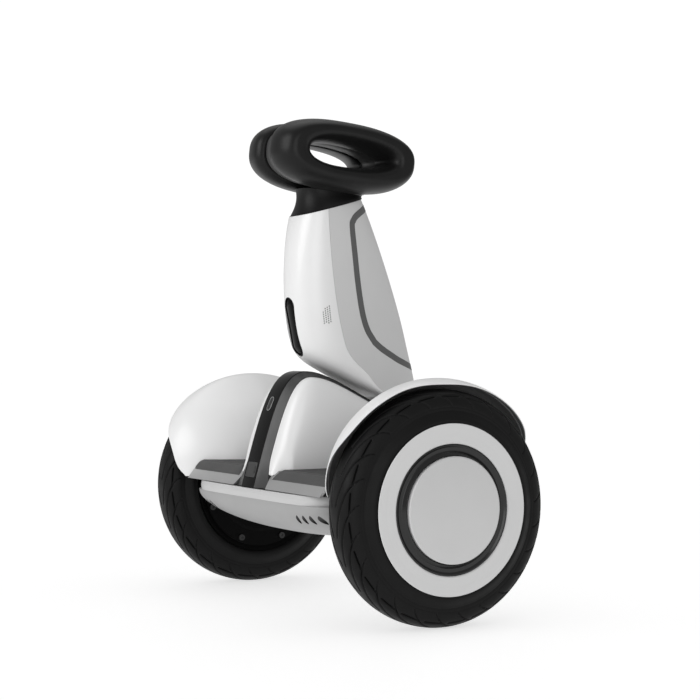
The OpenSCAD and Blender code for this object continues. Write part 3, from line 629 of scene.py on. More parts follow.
def fender_sheet(stations, steps, pull=0.0):
    """Grid on the fender from its lower edge over the top to the lip, one row for each place along the lip.

    pull stops each row that far short of the lip, in millimetres.
    """
    centre = np.array([FENDER_MID, 0, FENDER_WIDE_Z])
    half = [np.array(lip_point(*p)) for p in LIP_LINE]
    half[-1][1] = 0
    lip = curve_through([p * (1, -1, 1) for p in half] + half[-2::-1], 10)
    lip = resample(lip, stations) - centre
    drop = (FENDER_WIDE_Z - FENDER_LOW) / FENDER_DOWN
    k = (1 - drop**RISE_E) ** (1 / RISE_E)
    reach = math.degrees(math.acos(((FENDER_MID - LIP_LINE[0][0]) / FENDER_IN) ** (PLAN_IN_E / 2)))
    side = np.linspace(reach - 180, -reach - 180, stations)
    foot = np.stack([k * FENDER_IN * spow(np.cos(np.radians(side)), 2 / PLAN_IN_E),
                     k * FENDER_HALF_L * spow(np.sin(np.radians(side)), 2 / PLAN_IN_E),
                     np.full(stations, -drop * FENDER_DOWN)], -1)
    foot = resample(foot, stations)
    a = unit(foot / fender_axes(foot))
    b = unit(lip / fender_axes(lip))
    angle = np.arccos(np.clip((a * b).sum(-1), -1, 1))[:, None, None]
    t = np.linspace(0, 1, steps)[None, :, None]
    ray = (np.sin((1 - t) * angle) * a[:, None] + np.sin(t * angle) * b[:, None]) / np.sin(angle)
    points, normals = on_fender(ray * fender_axes(ray))
    if pull:
        rows_p, rows_n = [], []
        for p, n in zip(points, normals):
            run = run_along(p)
            at = np.linspace(0, max(run[-1] - pull, run[-1] * 0.5), steps)
            rows_p.append(pick(p, run, at))
            rows_n.append(unit(pick(n, run, at)))
        points, normals = np.array(rows_p), np.array(rows_n)
    return points, normals


def build_fender(side_name, side):
    points, normals = fender_sheet(97, 56, pull=FENDER_WALL / 2)
    half = FENDER_WALL / 2
    end, out = points[:, -1], normals[:, -1]
    ahead = unit(points[:, -1] - points[:, -2])
    roll = np.radians(np.linspace(0, 180, 9))[1:-1]
    lip = np.stack([end - out * half + half * (math.cos(r) * out + math.sin(r) * ahead) for r in roll], 1)
    inner = (points - normals * FENDER_WALL)[:, ::-1]
    loops = np.concatenate([points, lip, inner], 1)

    def dark_inside(centre, normal):
        return inside_fender(centre * (side, 1, 1), FENDER_WALL * 0.55)

    solid("fender_" + side_name, ring_surface(loops, wrap=False, caps=True), "base",
          ["white_gloss", "liner_plastic"], side, sharp=50, paint=dark_inside)
    points, normals = fender_sheet(73, 40, pull=LINER_SHORT)
    outer = points - normals * (FENDER_WALL + GAP)
    inner = points - normals * (FENDER_WALL + GAP + LINER_WALL)
    solid("fender_liner_" + side_name, shell_surface(outer, inner), "base", "liner_plastic", side,
          bevel=0.4)


def inside_fender(centre, depth):
    """1 where a point lies deeper than depth under the fender's surface."""
    d = centre - (FENDER_MID, 0, FENDER_WIDE_Z)
    surface, normal = on_fender(d)
    return (((surface - centre) * normal).sum(-1) > depth).astype(int)


for side_name, side in SIDES:
    build_tyre(side_name, side)
    build_hub(side_name, side)
    build_fender(side_name, side)

# ---------- arch ----------

ARCH_TOP = 288
ARCH_REAR = [(-124, SEAM_Z), (-98, 240), (-84, ARCH_TOP + 1), (-50, ARCH_TOP)]
ARCH_FRONT = [(-50, ARCH_TOP), (-24, ARCH_TOP - 1), (0, 272), (64, 239.5)]
ARCH_END = [(64, 239.5), (72, 235.5), (78, 226), (78, 171)]
BEVEL_W = 12
BUTTON_T = 0.47
COVER_T = 0.08
BUTTON_SIZE = (8, 16)
COVER_SIZE = (24.8, 18.8)
SLOT_ROOM = 0.6
BEZEL_W = 1.1


def arch_at(t):
    t = np.asarray(t, float)
    rear = bezier(ARCH_REAR, np.clip(t, 0, 1))
    front = bezier(ARCH_FRONT, np.clip(t - 1, 0, 1))
    end = bezier(ARCH_END, np.clip(t - 2, 0, 1))
    t = t[..., None]
    return np.where(t < 1, rear, np.where(t < 2, front, end))


def arch_normal(t):
    t = np.asarray(t, float)
    d = arch_at(t + 0.01) - arch_at(np.maximum(0, t - 0.01))
    return unit(np.stack([-d[..., 1], d[..., 0]], -1))


def along_arch(section, t):
    """Rings of a cross-section, given as (x, depth) points, at the places t of the arch."""
    p, n = arch_at(t)[:, None], arch_normal(t)[:, None]
    x, depth = section[None, :, 0], section[None, :, 1]
    yz = p - n * depth[..., None]
    return np.concatenate([np.broadcast_to(x, yz.shape[:2])[..., None], yz], -1)


def place_on_arch(points, t):
    """Points given as (x, up the band, out of it), put on the band at t."""
    points = np.asarray(points, float)
    p, n = arch_at(t), arch_normal(t)
    up = np.array([n[1], -n[0]])
    yz = p + points[..., 1:2] * up + points[..., 2:3] * n
    return np.concatenate([points[..., :1], yz], -1)


def capsule_outline(width, length, count=48):
    """Closed outline of a capsule whose length runs along the second axis."""
    a = round_turn(count)
    r, half = width / 2, (length - width) / 2
    return np.stack([r * np.cos(a), r * np.sin(a) + half * np.where(np.sin(a) >= 0, 1, -1)], -1)


def box_outline(width, length, radius):
    w, h = width / 2, length / 2
    return fillet([(w, -h, radius), (w, h, radius), (-w, h, radius), (-w, -h, radius)], 6)


def prism(outline, low, high, place):
    """Straight solid over an outline, from low to high, put in place by a function of (n, 3) points."""
    rings = np.stack([np.hstack([outline, np.full((len(outline), 1), h)]) for h in (low, high)])
    return ring_surface(place(rings), wrap=False, caps=True)


def inset_rings(outline, profile):
    """An outline repeated for each (inset, height) of a profile."""
    away = unit(outline - outline.mean(0))
    return np.array([np.hstack([outline - away * inset, np.full((len(outline), 1), h)])
                     for inset, h in profile])


def button_like(outline, profile, place):
    """Solid over an outline; the profile runs from its lower edge over the top to its middle."""
    return ring_surface(place(inset_rings(outline, profile)), wrap=False, caps=True)


PANEL_WALL = 2.4


def bevel_half(z):
    """Half width of the bevel strips at the height z: they flare out at the foot."""
    return BAND_HALF_W + BEVEL_W + 14 * np.maximum(0, (184 - z) / 37) ** 1.5


def build_arch():
    t = np.linspace(0, 2, 161)
    edge = BAND_HALF_W
    section = fillet([(-edge, 0, 0.9), (edge, 0, 0.9), (edge, 3, 0.3), (-edge, 3, 0.3)])
    at_button = lambda p: place_on_arch(p, BUTTON_T)
    at_cover = lambda p: place_on_arch(p, COVER_T)
    button_shape = capsule_outline(*BUTTON_SIZE)
    cover_shape = box_outline(*COVER_SIZE, 2.4)
    button_hole = capsule_outline(*(v + SLOT_ROOM for v in BUTTON_SIZE))
    cover_hole = box_outline(*(v + SLOT_ROOM for v in COVER_SIZE), 2.6)
    holes = [tool(prism(button_hole, -8, 4, at_button)), tool(prism(cover_hole, -8, 4, at_cover))]
    solid("spine_band", ring_surface(along_arch(section, t), wrap=False, caps=True), "base",
          "black_gloss", cutters=holes, sharp=40)
    discard(*holes)
    button = [(0, -6), (0, 0.1), (0.15, 0.45), (0.5, 0.6), (0.9, 0.5), (1.4, 0.1), (2.4, -0.15), (3.6, -0.2)]
    solid("power_button", button_like(button_shape, button, at_button),
          "power_button", "dark_plastic", sharp=60)
    bezel = [(-BEZEL_W, -0.2), (-BEZEL_W, 0.22), (-0.9, 0.36), (-0.5, 0.36), (-0.36, 0.25), (-0.36, -0.2)]
    loops = inset_rings(button_shape, bezel).swapaxes(0, 1)
    solid("button_bezel", ring_surface(place_on_arch(loops, BUTTON_T)), "base", "silver_trim",
          stands_for=())
    cover = [(0, -2.2), (0, -0.3), (0.15, 0.02), (0.5, 0.2), (1.3, 0.2), (1.8, 0.05), (4, 0.05), (8, 0.05)]
    solid("charge_cover", button_like(cover_shape, cover, at_cover),
          "charge_cover", "charge_rubber", slot="mat_rubber", sharp=60)
    notch = [(0, 0), (0, 0.35), (0.4, 0.55), (0.9, 0.5)]
    notch_shape = capsule_outline(3, 9) + (8.6, 0)
    solid("charge_cover_grip", button_like(notch_shape, notch, at_cover), "charge_cover",
          "dark_plastic", slot="mat_rubber", stands_for=(), sharp=60)


def build_bevels():
    t = np.linspace(0, 2, 161)
    z = arch_at(t)[:, 1] - 7 * arch_normal(t)[:, 1]
    halves = []
    for sign in (-1, 1):
        inner = np.full(len(t), BAND_HALF_W + 0.25)
        outer = bevel_half(z)
        u = np.linspace(0, 1, 9)
        x = inner[:, None] * (1 - u) + outer[:, None] * u
        depth = 0.7 + 6.3 * u**0.85
        x = np.concatenate([x, x[:, ::-1]], 1)
        depth = np.broadcast_to(np.concatenate([depth, depth[::-1] + 2.4]), x.shape)
        p, n = arch_at(t)[:, None], arch_normal(t)[:, None]
        yz = p - n * depth[..., None]
        yz[..., 1] = np.maximum(yz[..., 1], SEAM_Z + GAP)
        rings = np.concatenate([sign * x[..., None], yz], -1)
        halves.append(ring_surface(rings, wrap=False, caps=True))
    # The bevel strips take the darkened silver: painted shade.
    solid("spine_bevel", join_parts(halves), "base", "bevel_silver", slot="silver_trim", sharp=40,
          bevel=0.3)


def deck_floor(y):
    """Height of an arch panel's lower edge: just over the deck cover, down its slope at the rear."""
    return DECK_Z - 2.6 - np.maximum(0, np.abs(y) - 103.6)


def panel_grid(inset, rows=110, cols=36):
    t = np.linspace(0.07, 3, rows)[:, None]
    b = arch_at(t[:, 0])[:, None] - 7.2 * arch_normal(t[:, 0])[:, None]
    u = np.linspace(0, 1, cols)[None, :] ** 0.9
    u = np.sin(u * math.pi / 2) ** 1.2
    x0 = bevel_half(b[..., 1]) + 0.8 + inset
    x1 = ARCH_HALF_W - 11 * smooth((-b[..., 0] - 98) / 17) - inset
    rise, narrow = bulge(u, 2.7), 1 - 0.1 * u**3
    y = b[..., 0] * narrow + inset * 0.9 * ((b[..., 0] < -40).astype(float) - (b[..., 0] > 60))
    z = deck_floor(y)
    return np.stack([mix(x0, x1, u) + 0 * y, y, z + np.maximum(0, (b[..., 1] - z - inset) * rise)], -1)


def build_panels(side_name, side):
    solid("arch_panel_" + side_name, shell_surface(panel_grid(0), panel_grid(PANEL_WALL)), "base",
          "white_gloss", side, sharp=45, bevel=0.35)


# ---------- deck ----------

CORNER_R = 10
MAT_END = 113.4
RIB_PITCH = 6.5
RIB_DEPTH = 1.5
MAT_THICK = 2.75


def fender_plan_x(y, clear):
    """Distance from the middle plane to the fender's inner wall at the place y, less a clearance."""
    inner, half = FENDER_IN + clear, FENDER_HALF_L + clear
    return FENDER_MID - inner * bulge(y / half, PLAN_IN_E)


def mat_section():
    corner = [(-MAT_END, 159.2, 0), (-106, DECK_Z - 2.8, 3), (-101.5, DECK_Z, 4), (101.5, DECK_Z, 4),
              (106, DECK_Z - 2.8, 3), (MAT_END, 159.2, 0)]
    return resample(fillet(corner), 200)


def build_mat(side_name, side):
    section = mat_section()
    y = section[:, 0][:, None]
    u = np.linspace(0, 1, 101)[None, :]
    over = np.clip((np.abs(y) - (MAT_END - CORNER_R)) / CORNER_R, 0, 1)
    outer = fender_plan_x(y, 1.5) - CORNER_R * (1 - np.sqrt(1 - over**2))
    inner = ARCH_HALF_W + 0.6 - 11.6 * smooth((np.abs(y) - 98) / 17)
    x = mix(inner, outer, u)
    along = unit(np.gradient(section, axis=0))
    normal = np.stack([-along[:, 1], along[:, 0]], -1)[:, None]
    border = np.minimum(np.minimum(x - inner, outer - x), MAT_END - np.abs(y))
    inside = smooth((border - 13) / 2.5)
    wave = np.abs(((x * 0.82 + y * 0.57 * np.where(y < 0, 1, -1)) / RIB_PITCH) % 1 - 0.5) * 2
    groove = smooth((wave - 0.45) / 0.4)
    line = smooth(1 - np.abs(border - 10.5) / 1.1)
    depth = RIB_DEPTH * inside * groove + 0.7 * line + 0.9 * smooth(1 - border / 1.2)
    top = section[:, None] - normal * depth[..., None]
    base = section[:, None] - normal * MAT_THICK + 0 * top
    outer_grid = np.concatenate([x[..., None], top], -1)
    inner_grid = np.concatenate([x[..., None], base], -1)
    solid("foot_mat_" + side_name, shell_surface(outer_grid, inner_grid), "base", "mat_rubber", side,
          sharp=50)


def bumper_ring(z, inset, count=360):
    a = round_turn(count)
    c, s = np.cos(a), np.sin(a)
    x = (HULL_HALF_W + 0.5 - inset) * spow(c, 0.3)
    y = (DECK_HALF_L - inset) * spow(s, 0.3) * (1 - 0.05 * c**2)
    return np.stack([x, y, np.full(count, float(z))], -1)


def along_axle(x0, x1, r, count=64):
    a = round_turn(count)
    rings = [np.stack([np.full(count, float(x)), r * np.cos(a), AXLE_Z + r * np.sin(a)], -1)
             for x in (x0, x1)]
    return ring_surface(np.array(rings), wrap=False, caps=True)


AXLE_BOSS_R = 20.3
SLOT_X = 114
SLOT_PITCH = 12.5
SLOT_Z = 117
SLOTS_PER_SIDE = 5
SLOT_HALF_H = 5.6
SLOT_HALF_W = 3.2
SLOT_LEAN = 0.7
SLOT_RISE = 0.04
SLOT_CUT_Y = (-150, -85)
HULL_WALL = 3


def hull_grid(inset, reach):
    share = np.linspace(-1, 1, 97)
    x = HULL_HALF_W * spow(share, 0.8)[:, None]
    a = np.radians(np.linspace(0, 180, 73))[None, :]
    length = (DECK_HALF_L - 5 * (np.abs(x) / 165) ** 2) * bulge(x / (HULL_HALF_W + 2), 9) - inset
    depth = np.maximum(2, (BUMPER_Z - BELLY_Z) * bulge(x / HULL_HALF_W, 2.6) - inset)
    y = -length * spow(np.cos(a), 0.86)
    z = BUMPER_Z - 0.05 - depth * spow(np.sin(a), 0.86)
    return np.stack([x * reach + 0 * y, y, z], -1)


def slot_tool(x):
    """Lens-shaped cutter for one cooling slot, leaning outward at its head."""
    a = round_turn(32)
    z = SLOT_HALF_H * np.sin(a)
    wide = SLOT_HALF_W * np.cos(a) * (1 - 0.25 * np.sin(a) ** 2)
    across = x + wide + SLOT_LEAN * np.sign(x) * z
    level = SLOT_Z + SLOT_RISE * (abs(x) - SLOT_X)
    rings = [np.stack([across, np.full(32, float(y)), level + z], -1) for y in SLOT_CUT_Y]
    return tool(ring_surface(np.array(rings), wrap=False, caps=True))


def build_hull():
    axles = [tool(along_axle(120, 220, AXLE_BOSS_R)), tool(along_axle(-220, -120, AXLE_BOSS_R))]
    slots = [slot_tool(s * (SLOT_X + i * SLOT_PITCH)) for s in (-1, 1) for i in range(SLOTS_PER_SIDE)]

    # Gives the cut walls of the cooling slots dark_plastic: painted shade inside the slots.
    def shaded_slot_walls(centre, normal):
        x, y, z = abs(centre[:, 0]), centre[:, 1], centre[:, 2]
        near_slots = (y < SLOT_CUT_Y[1]) & (abs(z - SLOT_Z) < 8) & (x < 171)
        return (near_slots & (abs(normal[:, 1]) < 0.05)).astype(int)

    solid("lower_hull", shell_surface(hull_grid(0, 1), hull_grid(HULL_WALL, 0.985)), "base",
          ["hull_plastic", "dark_plastic"], cutters=axles + slots, sharp=40, paint=shaded_slot_walls)
    section = fillet([(0, BUMPER_Z, 0.2), (-0.6, (BUMPER_Z + SEAM_Z) / 2, 8), (0.3, SEAM_Z - 0.9, 1.2),
                      (4, SEAM_Z - 0.9, 0.2), (4, BUMPER_Z, 0.2)])
    rings = np.stack([bumper_ring(z, inset) for inset, z in section])
    # The bumper wears the lighter copy of the hull's plastic: painted light against the hull's painted shade.
    solid("bumper_rim", ring_surface(rings), "base", "bumper_plastic", slot="hull_plastic", cutters=axles,
          sharp=40)
    discard(*axles, *slots)


build_arch()
build_bevels()
build_hull()
for side_name, side in SIDES:
    build_panels(side_name, side)
    build_mat(side_name, side)

# ---------- steering bar ----------

BAR_WALL = 3
BASE_R = 36
BAR_Y0 = 74
BAR_Y1 = 119
BAR_REAR = [
    [(-59.4, 479), (-70, 440), (-73, 360), (-58, 320)],
    [(-58, 320), (-52, 304), (-36, 296), (-12, 284.6)],
    [(-12, 284.6), (9, 274.6), (31, 264.5), (52, 255)],
    [(52, 255), (66, 248), (BAR_Y0, 232), (BAR_Y0, PIVOT_Z)]]
BAR_FRONT = [
    [(31.6, 503.5), (52, 464), (86, 376), (98, 326)],
    [(98, 326), (102, 310), (106, 295), (109, 281)],
    [(109, 281), (111, 271), (113, 261), (115, 251)],
    [(115, 251), (119, 235), (BAR_Y1, 210), (BAR_Y1, PIVOT_Z)]]


def bar_outline(curves, y_foot, shrink, u):
    """Outline of the bar in the middle plane at u: four curves down to the foot, and an arc round its end."""
    turn = np.radians(75 * np.clip(u - 4, 0, 1))
    p = np.stack([y_foot + shrink * (1 - np.cos(turn)), PIVOT_Z - BASE_R * np.sin(turn)], -1)
    for i in range(3, -1, -1):
        p = np.where((u <= i + 1)[..., None], bezier(curves[i], np.clip(u - i, 0, 1)), p)
    return p


def bar_point(u, s, a, inset):
    """Point on the bar's skin: s -1 is the rear cover and 1 the front one, a runs between the creases."""
    u, a = np.broadcast_arrays(np.asarray(u, float), np.radians(np.asarray(a, float)))
    rear = bar_outline(BAR_REAR, BAR_Y0, 4, u)
    front = bar_outline(BAR_FRONT, BAR_Y1, -14, u)
    across = front - rear
    long = np.linalg.norm(across, axis=-1)
    d = across / long[..., None]
    share = 0.32 - 0.2 * smooth((u - 1.8) / 1.2)
    half = np.where(u > 4, BAR_HALF_W * np.cos(np.radians(75 * np.clip(u - 4, 0, 1))),
                    BAR_HALF_W - 2 * np.maximum(0, 1 - 2.5 * u) ** 2) - inset
    c = share * long
    depth = (c if s < 0 else long - c) - inset
    step = c + s * (GAP / 2 + depth * spow(np.sin(a), 2 / 2.2))
    q = rear + d * step[..., None]
    return np.stack([half * spow(np.cos(a), 2 / 2.2), q[..., 0], q[..., 1]], -1)


def bar_grid(s, inset, rows=150, cols=61):
    u = np.concatenate([np.linspace(0, 4, rows), 4 + np.linspace(0, 1, 22)[1:]])
    e = np.linspace(-1, 1, cols)
    a = 90 + 90 * np.sign(e) * (1 - (1 - np.abs(e)) ** 1.25)
    return bar_point(u[:, None], s, a[None, :], inset)


LAMP_LOW = 318
LAMP_HIGH = 367
LAMP_R = 12
LAMP_START_Y = -150


def lamp_outline(r, count=96):
    outline = capsule_outline(2 * r, LAMP_HIGH - LAMP_LOW + 2 * r, count)
    return outline + (0, (LAMP_HIGH + LAMP_LOW) / 2)


def straight_back(points):
    """Puts (x, z, y) points in the frame."""
    return points[..., [0, 2, 1]]


def build_bar():
    rear_skin = bar_grid(-1, 0)
    lamp_hole = tool(prism(lamp_outline(LAMP_R), -120, -30, straight_back))
    a = round_turn(64)
    hole = np.stack([21 * np.cos(a), PIVOT_Z + 21 * np.sin(a)], -1)
    pivot_hole = tool(prism(hole, 55, 86, straight_back))
    solid("bar_rear_cover", shell_surface(rear_skin, bar_grid(-1, BAR_WALL)), "steering_bar",
          "white_gloss", cutters=(lamp_hole, pivot_hole), sharp=40)
    # The front cover's grey_white is the rear cover's white plastic with painted shade.
    solid("bar_front_cover", shell_surface(bar_grid(1, 0), bar_grid(1, BAR_WALL)), "steering_bar",
          "grey_white", sharp=40)
    discard(lamp_hole, pivot_hole)
    build_lamp(rear_skin)
    build_trim()
    build_speaker()


def skin_tree(grid):
    rows, cols = grid.shape[:2]
    return BVHTree.FromPolygons(grid.reshape(-1, 3).tolist(), grid_faces(rows, cols, False, False).tolist())


def drop_on(tree, points, direction):
    """Where rays from the points meet a skin, and the skin's normals there, turned against the rays."""
    hits, normals = [], []
    for p in points:
        place, normal, _, _ = tree.ray_cast(Vector(p), Vector(direction))
        hits.append(place)
        normals.append(normal * (-1 if normal.dot(Vector(direction)) > 0 else 1))
    return np.array(hits), np.array(normals)


def build_lamp(rear_skin):
    tree = skin_tree(rear_skin)

    def raised(outline, height):
        """An outline dropped on the rear cover, and lifted off it by a height."""
        start = np.stack([outline[:, 0], np.full(len(outline), float(LAMP_START_Y)), outline[:, 1]], -1)
        place, normal = drop_on(tree, start, (0, 1, 0))
        return place + normal * height

    profile = fillet([(LAMP_R - 0.3, 0.1, 0.2), (LAMP_R - 1.5, -0.5, 0.4), (LAMP_R - 1.7, -2.9, 0.2),
                      (LAMP_R - 0.3, -2.9, 0.2)])
    loops = [raised(lamp_outline(r), height) for r, height in profile]
    solid("lamp_bezel", ring_surface(np.array(loops)), "steering_bar", "lamp_glass", stands_for=(),
          sharp=50)
    outline = lamp_outline(LAMP_R - 1.6)
    spine = np.stack([0 * outline[:, 0], np.clip(outline[:, 1], LAMP_LOW, LAMP_HIGH)], -1)
    crown = ((1, -3.6), (1, -2.0), (0.97, -1.6), (0.85, -1.25), (0.6, -1.0), (0.3, -0.9), (0.05, -0.9))
    loops = [raised(spine + (outline - spine) * share, height) for share, height in crown]
    solid("lamp_lens", ring_surface(np.array(loops), wrap=False, caps=True), "steering_bar",
          "lamp_glass", sharp=50)


TRIM_HALF_W = 4.2
# One side of the trim's line: (place down the bar, degrees from the crease).
TRIM_SIDE = [(0.07, 90), (0.08, 70), (0.095, 52), (0.12, 36), (0.15, 28.5), (0.2, 24.3), (0.42, 20.5),
             (0.6, 18.2), (0.78, 17.2), (0.9, 18.4), (1, 22), (1.18, 27), (1.36, 34), (1.55, 44), (1.7, 62),
             (1.77, 90)]


def build_trim():
    other = [(p, 180 - q) for p, q in TRIM_SIDE[-2:0:-1]]
    path = curve_through(TRIM_SIDE + other, 14, closed=True)
    place = bar_point(path[:, 0], 1, path[:, 1], 0)
    step_u = bar_point(path[:, 0] + 0.01, 1, path[:, 1], 0) - bar_point(path[:, 0] - 0.01, 1, path[:, 1], 0)
    step_a = bar_point(path[:, 0], 1, path[:, 1] + 0.5, 0) - bar_point(path[:, 0], 1, path[:, 1] - 0.5, 0)
    out = unit(np.cross(step_a, step_u))
    middle = bar_point(path[:, 0], 1, 90, 0) * (1, 0.6, 1) - (0, 20, 0)
    out *= np.sign(((place - middle) * out).sum(-1, keepdims=True))
    along = unit(np.roll(place, -1, 0) - np.roll(place, 1, 0))
    beside = unit(np.cross(along, out))
    section = fillet([(TRIM_HALF_W, -0.6, 0), (TRIM_HALF_W, 0.25, 0.2), (-TRIM_HALF_W, 0.25, 0.2),
                      (-TRIM_HALF_W, -0.6, 0)])
    rings = place[:, None] + beside[:, None] * section[None, :, :1] + out[:, None] * section[None, :, 1:]
    solid("bar_trim", ring_surface(rings), "steering_bar", "trim_grey", sharp=60)


DOT_R = 0.8


def build_speaker():
    """Small holes of the sound grille: dark cups set flush in the rear cover's right flank. Their dark colour
    is painted shade for the inside of the holes.
    """
    tree = skin_tree(bar_grid(-1, 0))
    dots = []
    for row in range(8):
        for col in range(4):
            if (row, col) in ((0, 0), (7, 0), (7, 1)):
                continue
            y = -38 + 2.6 * col + 0.35 * row
            z = 363 - 2.7 * row + 1.6 * col
            place, normal = drop_on(tree, [(60, y, z)], (-1, 0, 0))
            n = normal[0]
            side = unit(np.cross(n, (0, 0, 1)))
            up = np.cross(side, n)
            a = round_turn(10)[:, None]
            rim = side * np.cos(a) + up * np.sin(a)
            rings = [place[0] + rim * r + n * out
                     for r, out in ((DOT_R, 0.05), (0.62, 0.06), (0.55, -0.5))]
            dots.append(ring_surface(np.array(rings), wrap=False, caps=True))
    solid("sound_grille", join_parts(dots), "steering_bar", "dark_plastic", stands_for=(), sharp=40)


build_bar()

# ---------- neck and head ----------

PAD_Z = 552.5
PAD_TILT = math.radians(6.1)
PAD_SPREAD = 69
HEAD_Y = -13
HOLE_ROUND = 0.42
HEAD_SIZE = (94.8, 90, 42.4, 43.4)
HEAD_E = 2.58
HOLE_SIZE = (64, 40, 13.2, 14.2)
HOLE_E = 2.12
HOLE_SHIFT = (-6, 1.3)


def superellipse(t, size, e, grow=0.0):
    """Points at the angles t of an outline that reaches size to the front, rear, top and bottom."""
    front, rear, top, bottom = (v + grow for v in size)
    c, s = np.cos(t), np.sin(t)
    return np.stack([np.where(c > 0, front, rear) * spow(c, 2 / e),
                     np.where(s > 0, top, bottom) * spow(s, 2 / e)], -1)


def build_neck():
    t = np.linspace(0, 1, 25)
    rear = bezier([(-59.4, 479), (-51, 492), (-50, 502), (-53, 513.2)], t)[:, None]
    front = bezier([(31.6, 503.5), (30.5, 504.5), (31, 506), (33, 506.5)], t)[:, None]
    half = (36 - 5 * smooth(t))[:, None]
    a = round_turn(96)[None, :]
    s = (0.5 - 0.5 * spow(np.cos(a), 2 / 2.3))[..., None]
    yz = mix(rear, front, s)
    x = half * spow(np.sin(a), 2 / 2.3)
    rings = np.concatenate([x[..., None], yz + (0, 0.4)], -1)
    saddle = tool(prism(superellipse(round_turn(120), HEAD_SIZE, HEAD_E, GAP), -60, 60,
                        lambda p: head_place(p[..., 2], p[..., :2])))
    solid("neck_cover", ring_surface(rings, wrap=False, caps=True), "steering_bar", "black_satin",
          cutters=(saddle,), sharp=40)
    discard(saddle)


def between_outlines(t, u):
    """Points of the head's plane, from the hand hole's outline (u = 0) to the head's own (u = 1)."""
    return mix(superellipse(t, HOLE_SIZE, HOLE_E) + HOLE_SHIFT, superellipse(t, HEAD_SIZE, HEAD_E),
               np.asarray(u, float)[..., None])


def head_inner(y):
    return mix(9.5, 18.8, (y + 90) / 180)


def head_x(y, share):
    """Distance from the middle plane: -1 at a pad's back, 0 at its widest outline and 1 at its face."""
    back, face = head_inner(y), mix(PAD_SPREAD - 11.5, PAD_SPREAD, (y + 90) / 180)
    widest = mix(back, face, 0.3)
    return np.where(share < 0, mix(widest, back, -share), mix(widest, face, share))


def head_place(x, q):
    c, s = math.cos(PAD_TILT), math.sin(PAD_TILT)
    return np.stack([x, HEAD_Y + q[..., 0] * c + q[..., 1] * s, PAD_Z + q[..., 1] * c - q[..., 0] * s], -1)


def pad_section(t):
    """One pad's section at the angle t, as places between the outlines and shares of its depth."""
    c, s = math.cos(t), math.sin(t)
    face_round = mix(0.3 if c > 0 else 0.42, 0.48 if s > 0 else 0.55, s * s)
    rise = np.radians(np.linspace(0, 90, 17))
    fall = np.radians(np.linspace(90, 0, 15))[:-1]
    back = np.radians(np.linspace(0, 90, 6))
    edge = np.radians(np.linspace(90, 0, 9))[:-1]
    flat = np.linspace(0, 1, 6)[1:-1]
    u = [1 - face_round * (1 - np.cos(rise)), mix(1 - face_round, HOLE_ROUND, flat),
         HOLE_ROUND * (1 - np.cos(fall)), 0.05 * (1 - np.cos(back)), mix(0.05, 0.76, flat),
         1 - 0.24 * (1 - np.cos(edge))]
    share = [np.sin(rise), 1 + 0 * flat, np.sin(fall), -np.sin(back), -1 + 0 * flat, -np.sin(edge)]
    return np.concatenate(u), np.concatenate(share)


def build_pad(side_name, side):
    rings = []
    for t in round_turn(180):
        u, share = pad_section(t)
        q = between_outlines(np.full(len(u), t), u)
        rings.append(head_place(head_x(q[:, 0], share), q))
    pad = solid("knee_pad_" + side_name, ring_surface(np.array(rings)), "steering_bar", "pad_foam", side,
                sharp=70)


def build_core():
    half = np.array([(0.78, 0.9), (0.765, 0.97), (0.74, 1), (0.1, 1), (0.075, 0.97), (0.06, 0.9)])
    section = np.vstack([half, half[::-1] * (1, -1)])
    rings = []
    for t in round_turn(180):
        q = between_outlines(np.full(len(section), t), section[:, 0])
        rings.append(head_place((head_inner(q[:, 0]) - GAP) * section[:, 1], q))
    tongue = prism(np.array([(9.2, -23), (9.2, 21), (-9.2, 21), (-9.2, -23)]), 503.3, 519.3, lambda p: p)
    solid("head_core", join_parts([ring_surface(np.array(rings)), tongue]), "steering_bar",
          "core_plastic", sharp=60)


build_neck()
build_core()
for side_name, side in SIDES:
    build_pad(side_name, side)

# ---------- floor and light ----------


AIM = (0, 0, 0.28)
FLOOR_REACH = 14.0
SKY_LIGHT = 0.44
BACKDROP_LIGHT = 1.05


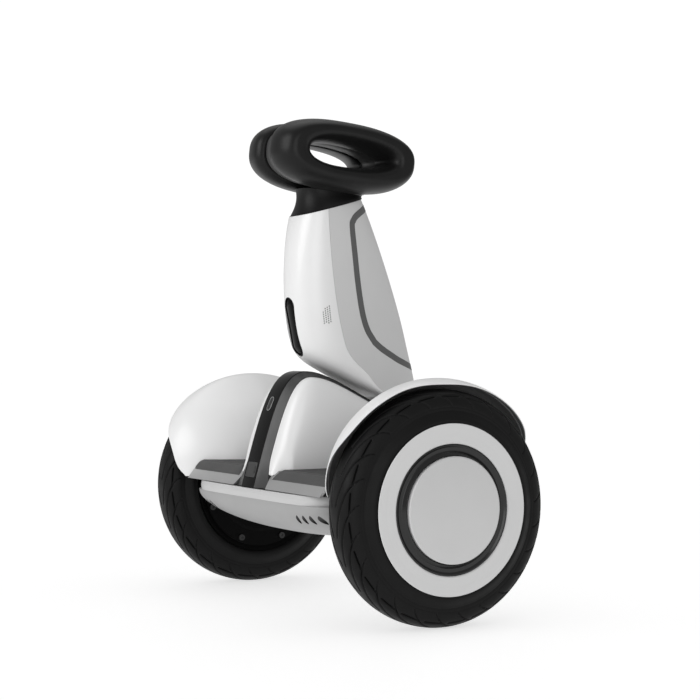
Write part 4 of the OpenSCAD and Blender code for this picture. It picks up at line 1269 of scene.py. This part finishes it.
def area_light(name, place, size, power, receivers):
    """A soft disk of light, size metres across, that shines towards the object."""
    data = bpy.data.lights.new(name, "AREA")
    data.shape = "DISK"
    data.size = size
    data.energy = power
    lamp = bpy.data.objects.new(name, data)
    lamp.location = place
    lamp.rotation_euler = (Vector(AIM) - Vector(place)).to_track_quat("-Z", "Y").to_euler()
    lamp.light_linking.receiver_collection = receivers
    bpy.context.scene.collection.objects.link(lamp)


def make_stage():
    """Floor and sky; the collection it gives back keeps area lights off the floor."""
    mesh = bpy.data.meshes.new("floor")
    r = FLOOR_REACH
    mesh.from_pydata([(-r, -r, 0), (r, -r, 0), (r, r, 0), (-r, r, 0)], [], [(0, 1, 2, 3)])
    mesh.materials.append(LOOKS["floor"])
    floor = bpy.data.objects.new("floor", mesh)
    bpy.context.scene.collection.objects.link(floor)
    only_sky = bpy.data.collections.new("only_sky")
    only_sky.objects.link(floor)
    for entry in only_sky.collection_objects:
        entry.light_linking.link_state = "EXCLUDE"
    world = bpy.data.worlds.new("studio")
    world.use_nodes = True
    bpy.context.scene.world = world
    nodes, links = world.node_tree.nodes, world.node_tree.links
    sky = nodes["Background"]
    sky.inputs["Color"].default_value = (1, 1, 1, 1)
    sky.inputs["Strength"].default_value = SKY_LIGHT
    backdrop = nodes.new("ShaderNodeBackground")
    backdrop.inputs["Color"].default_value = (1, 1, 1, 1)
    backdrop.inputs["Strength"].default_value = BACKDROP_LIGHT
    chooser = nodes.new("ShaderNodeMixShader")
    path = nodes.new("ShaderNodeLightPath")
    links.new(path.outputs["Is Camera Ray"], chooser.inputs["Fac"])
    links.new(sky.outputs["Background"], chooser.inputs[1])
    links.new(backdrop.outputs["Background"], chooser.inputs[2])
    links.new(chooser.outputs["Shader"], nodes["World Output"].inputs["Surface"])
    bpy.context.scene.view_settings.view_transform = "Standard"
    return only_sky


all_but_floor = make_stage()
area_light("key", (0.1, -2.6, 1.5), 2.0, 35, all_but_floor)
area_light("side", (2.8, -0.9, 0.9), 2.0, 18, all_but_floor)
area_light("top", (-0.6, 0.1, 2.8), 2.4, 14, all_but_floor)
